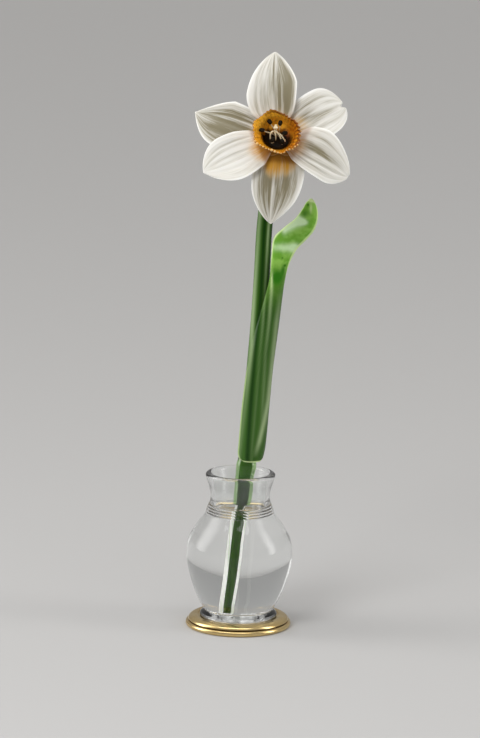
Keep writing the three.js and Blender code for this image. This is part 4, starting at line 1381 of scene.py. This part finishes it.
class NARCISSUS_OT_cup(bpy.types.Operator):
    """Shape the lobed amber cup, and edge it with gold beads"""

    bl_idname = "narcissus.cup"
    bl_label = "Cup"

    def execute(self, context):
        s = settings_of(context, "cup")
        wall = new_object("cup_wall", cup_mesh("cup_wall", s.around), cup_paint(s))
        finish_piece(wall, "amber_enamel", "corona")
        gold = gold_paint("bead_gold", s.gold, 0.12, 0.28, 0.55)
        inputs = {"Count": s.beads, "Bead Radius": s.bead_radius, "Material": gold}
        tree = tree_once("Beaded Rim", bead_tree)
        beads = grown("cup_beads", rim_line_mesh("cup_rim_line"), tree, inputs, sharp=50)
        finish_piece(beads, "stamen_gold")
        return {"FINISHED"}


def filament(stand, radius):
    """A filament's line: up from the cup's floor and out to its anther."""
    tip = np.array(stand)
    outward = np.array([tip[0], tip[1], 0]) / np.hypot(tip[0], tip[1])
    root = outward * 1.1 + (0, 0, CUP_FLOOR + 0.2)
    knee = outward * 1.3 + (0, 0, tip[2] - 0.8)
    return wire(root, knee, tip, radius, 0.75)


def wire(root, knee, tip, radius, taper):
    """A curved wire through the head's own axes, as rows of place and radius."""
    root, knee, tip = np.array([root, knee, tip], float)
    t = np.linspace(0, 1, WIRE_POINTS)[:, None]
    line = root * (1 - t) ** 2 + 2 * knee * t * (1 - t) + tip * t**2
    return np.hstack([in_head(line), radius * lerp(1.15, taper, t)])


def style_wires(radius):
    """The style, and the three short lobes that spread from its tip."""
    tip = np.array(STYLE_TIP)
    lines = [wire(STYLE_ROOT, STYLE_KNEE, tip, radius * 0.9, 1.2)]
    for turn in np.radians((90, 210, 330)):
        outward = np.array([math.cos(turn), math.sin(turn), 0])
        knee = tip + 0.3 * outward + (0, 0, 0.25)
        lines.append(wire(tip, knee, tip + 0.6 * outward + (0, 0, 0.1), radius * 1.2, 1.3))
    return lines


class NARCISSUS_OT_stamens(bpy.types.Operator):
    """Draw the gold filaments and the style, and set the dark anthers on them"""

    bl_idname = "narcissus.stamens"
    bl_label = "Stamens"

    def execute(self, context):
        s = settings_of(context, "stamen")
        radius = s.wire_radius / MM
        lines = [filament(stand, radius * 0.6) for stand in ANTHERS[:STANDING]]
        lines += style_wires(radius)
        lines += [wire(root, knee, end, radius * 0.8, 0.8) for root, knee, end in DROOPING]
        lines += [wire(start, start, end, radius * 1.7, 0.8) for start, end in GRAINS]
        gold = gold_paint("filament_gold", s.gold, 0.2, 0.35, 0.3)
        finish_piece(rods("gold_filaments", lines, WIRE_SIDES, gold), "stamen_gold", "stamens")
        paint = anther_paint(s)
        for number, stand in enumerate(ANTHERS, 1):
            name = f"anther_grain_{number}"
            finish_piece(new_object(name, anther_mesh(name, stand), paint), "anther_dark", f"anther_{number}")
        return {"FINISHED"}


def anther_mesh(name, stand):
    """A plump grain with a groove along its back and a waist, lying across its filament's tip."""
    climb = np.repeat(math.pi * np.arange(1, ANTHER_RINGS + 1) / (ANTHER_RINGS + 1), ANTHER_SIDES)
    around = np.tile(2 * math.pi * np.arange(ANTHER_SIDES) / ANTHER_SIDES, ANTHER_RINGS)
    waist = 1 - 0.1 * np.sin(climb) ** 6
    groove = 1 - 0.22 * np.exp(-(((around - math.pi / 2) / 0.3) ** 2)) * np.sin(climb)
    reach = ANTHER_WIDTH / 2 * np.sin(climb) * waist * groove
    half = ANTHER_LENGTH / 2
    points = np.stack([reach * np.cos(around), -half * np.cos(climb), reach * np.sin(around)], axis=1)
    points = np.vstack([points, (0, -half, 0), (0, half, 0)])
    spin = np.array(Matrix.Rotation(math.atan2(stand[1], stand[0]) - math.pi / 2, 3, "Z"))
    centre = np.array(stand) + (0, 0, ANTHER_WIDTH / 2 + 0.2)
    mesh = closed_mesh(name, in_head(points @ spin.T + centre), ANTHER_RINGS, ANTHER_SIDES)
    make_outward(mesh)
    return mesh


# ---- Stage --------------------------------------------------------------------------------------


class NARCISSUS_OT_stage(bpy.types.Operator):
    """Lay the pale floor, hang the softboxes and set the camera"""

    bl_idname = "narcissus.stage"
    bl_label = "Stage"

    def execute(self, context):
        s = settings_of(context, "stage")
        make_floor(s)
        make_room(s)
        make_lamps(s)
        make_camera()
        context.scene.view_settings.view_transform = "Standard"
        return {"FINISHED"}


def make_floor(s):
    corners = [(-1, -1, 0), (1, -1, 0), (1, 1, 0), (-1, 1, 0)]
    mesh = mesh_from("floor", np.array(corners) * FLOOR_HALF_WIDTH / MM, [(0, 1, 2, 3)])
    paint = Paint("pale_floor", Base_Color=(*s.floor, 1), Roughness=0.9, Specular_IOR_Level=0.0)
    new_object("floor", mesh, paint.material)


def far_softbox_group(name):
    """The soft-edged rectangle that a distant softbox fills, seen from the object."""
    inputs = dict.fromkeys(("Direction", "Axis", "Side", "Up"), "Vector")
    t = Tree(name, "ShaderNodeTree", {**inputs, "Half Width": 0.2, "Half Height": 0.5}, {"Mask": "Float"})

    def toward(axis):
        inputs = {0: t.entry["Direction"], 1: t.entry[axis]}
        return t.add("ShaderNodeVectorMath", inputs, operation="DOT_PRODUCT")["Value"]

    ahead = toward("Axis")
    mask = t.maths("GREATER_THAN", ahead, 0.05)
    for axis, half in (("Side", "Half Width"), ("Up", "Half Height")):
        aside = t.maths("ABSOLUTE", t.maths("DIVIDE", toward(axis), ahead))
        share = t.maths("DIVIDE", aside, t.entry[half])
        inside = t.span(share, 1.8, 0.2)
        mask = t.maths("MULTIPLY", mask, inside)
    t.give("Mask", mask)
    return t.tree


def make_room(s):
    """Soft light from the room, a little stronger from above, with two distant softboxes in it.

    The softboxes are hidden from the camera, and dimmed where they are seen through the glass.
    """
    world = bpy.data.worlds.new("soft_room")
    world.use_nodes = True
    bpy.context.scene.world = world
    t = Nodes(world.node_tree)
    direction = t.add("ShaderNodeTexCoord")["Generated"]
    height = t.add("ShaderNodeSeparateXYZ", {0: direction})[2]
    limits = {"From Min": 0.05, "From Max": 0.9, "To Min": s.ambient, "To Max": 1.6 * s.ambient}
    room = t.add("ShaderNodeMapRange", {"Value": height, **limits})[0]
    glow = 0.0
    for name, place, width, length in FAR_SOFTBOXES:
        axis = Vector(place).normalized()
        side = axis.cross(Vector((0, 0, 1))).normalized()
        inputs = {"Direction": direction, "Axis": axis, "Side": side, "Up": side.cross(axis)}
        inputs.update({"Half Width": width, "Half Height": length})
        mask = t.add("ShaderNodeGroup", inputs, node_tree=tree_once("Far Softbox", far_softbox_group))[0]
        glow = t.maths("MULTIPLY_ADD", mask, getattr(s, name), glow)
    path = t.add("ShaderNodeLightPath")
    seen = t.maths("MULTIPLY_ADD", path["Is Transmission Ray"], DIMMED_THROUGH_GLASS, path["Is Camera Ray"])
    total = t.maths("MULTIPLY_ADD", glow, t.maths("SUBTRACT", 1.0, seen), room)
    background = world.node_tree.nodes["Background"].inputs
    background["Color"].default_value = (1.0, 0.99, 0.975, 1)
    world.node_tree.links.new(total, background["Strength"])


def make_lamps(s):
    """Two near softboxes. The front one stays out of the glass and out of reflections."""
    for name, place, size, share in NEAR_SOFTBOXES:
        lamp = bpy.data.lights.new(name, "AREA")
        lamp.shape = "RECTANGLE"
        lamp.size, lamp.size_y = size
        lamp.energy = s.key * share
        obj = bpy.data.objects.new(name, lamp)
        obj.visible_camera = False
        obj.visible_transmission = name != "front"
        obj.visible_glossy = name != "front"
        obj.location = place
        obj.rotation_euler = (LAMPS_AIM - Vector(place)).to_track_quat("-Z", "Y").to_euler()
        bpy.context.scene.collection.objects.link(obj)


def make_camera():
    """A long lens, a little above the flower, leaning by under a degree."""
    camera = bpy.data.objects.new("camera", bpy.data.cameras.new("camera"))
    camera.data.lens = CAMERA_LENS
    camera.data.clip_start = 0.01
    camera.data.clip_end = 200
    camera.location = CAMERA_PLACE
    look = (CAMERA_AIM - CAMERA_PLACE).to_track_quat("-Z", "Y").to_matrix().to_4x4()
    camera.rotation_euler = (look @ Matrix.Rotation(CAMERA_LEAN, 4, "Z")).to_euler()
    bpy.context.scene.collection.objects.link(camera)
    bpy.context.scene.camera = camera


# ---- Add-on -------------------------------------------------------------------------------------

OPERATORS = [
    NARCISSUS_OT_stage,
    NARCISSUS_OT_base,
    NARCISSUS_OT_vase,
    NARCISSUS_OT_stem,
    NARCISSUS_OT_leaf,
    NARCISSUS_OT_tube,
    NARCISSUS_OT_petals,
    NARCISSUS_OT_cup,
    NARCISSUS_OT_stamens,
]
SETTINGS = {
    "base": NarcissusBaseSettings,
    "vase": NarcissusVaseSettings,
    "stem": NarcissusStemSettings,
    "leaf": NarcissusLeafSettings,
    "petal": NarcissusPetalSettings,
    "cup": NarcissusCupSettings,
    "stamen": NarcissusStamenSettings,
    "tube": NarcissusTubeSettings,
    "stage": NarcissusStageSettings,
}


class NARCISSUS_PT_panel(bpy.types.Panel):
    """The pieces of the ornament, each with its operator"""

    bl_label = "Narcissus Ornament"
    bl_idname = "NARCISSUS_PT_panel"
    bl_space_type = "VIEW_3D"
    bl_region_type = "UI"
    bl_category = "Narcissus"

    def draw(self, context):
        for operator in OPERATORS:
            self.layout.operator(operator.bl_idname)
        for name, group in SETTINGS.items():
            box = self.layout.box()
            box.label(text=name.capitalize())
            for key in group.__annotations__:
                box.prop(settings_of(context, name), key)


CLASSES = [*SETTINGS.values(), *OPERATORS, NARCISSUS_PT_panel]


def register():
    for item in CLASSES:
        bpy.utils.register_class(item)
    for name, group in SETTINGS.items():
        setattr(bpy.types.Scene, "narcissus_" + name, bpy.props.PointerProperty(type=group))


def unregister():
    for name in SETTINGS:
        delattr(bpy.types.Scene, "narcissus_" + name)
    for item in reversed(CLASSES):
        bpy.utils.unregister_class(item)


def main():
    register()
    bpy.ops.narcissus.stage()
    bpy.ops.narcissus.base()
    bpy.ops.narcissus.vase()
    bpy.ops.narcissus.stem()
    bpy.ops.narcissus.leaf()
    bpy.ops.narcissus.tube()
    bpy.ops.narcissus.petals()
    bpy.ops.narcissus.cup()
    bpy.ops.narcissus.stamens()


if __name__ == "__main__":
    main()
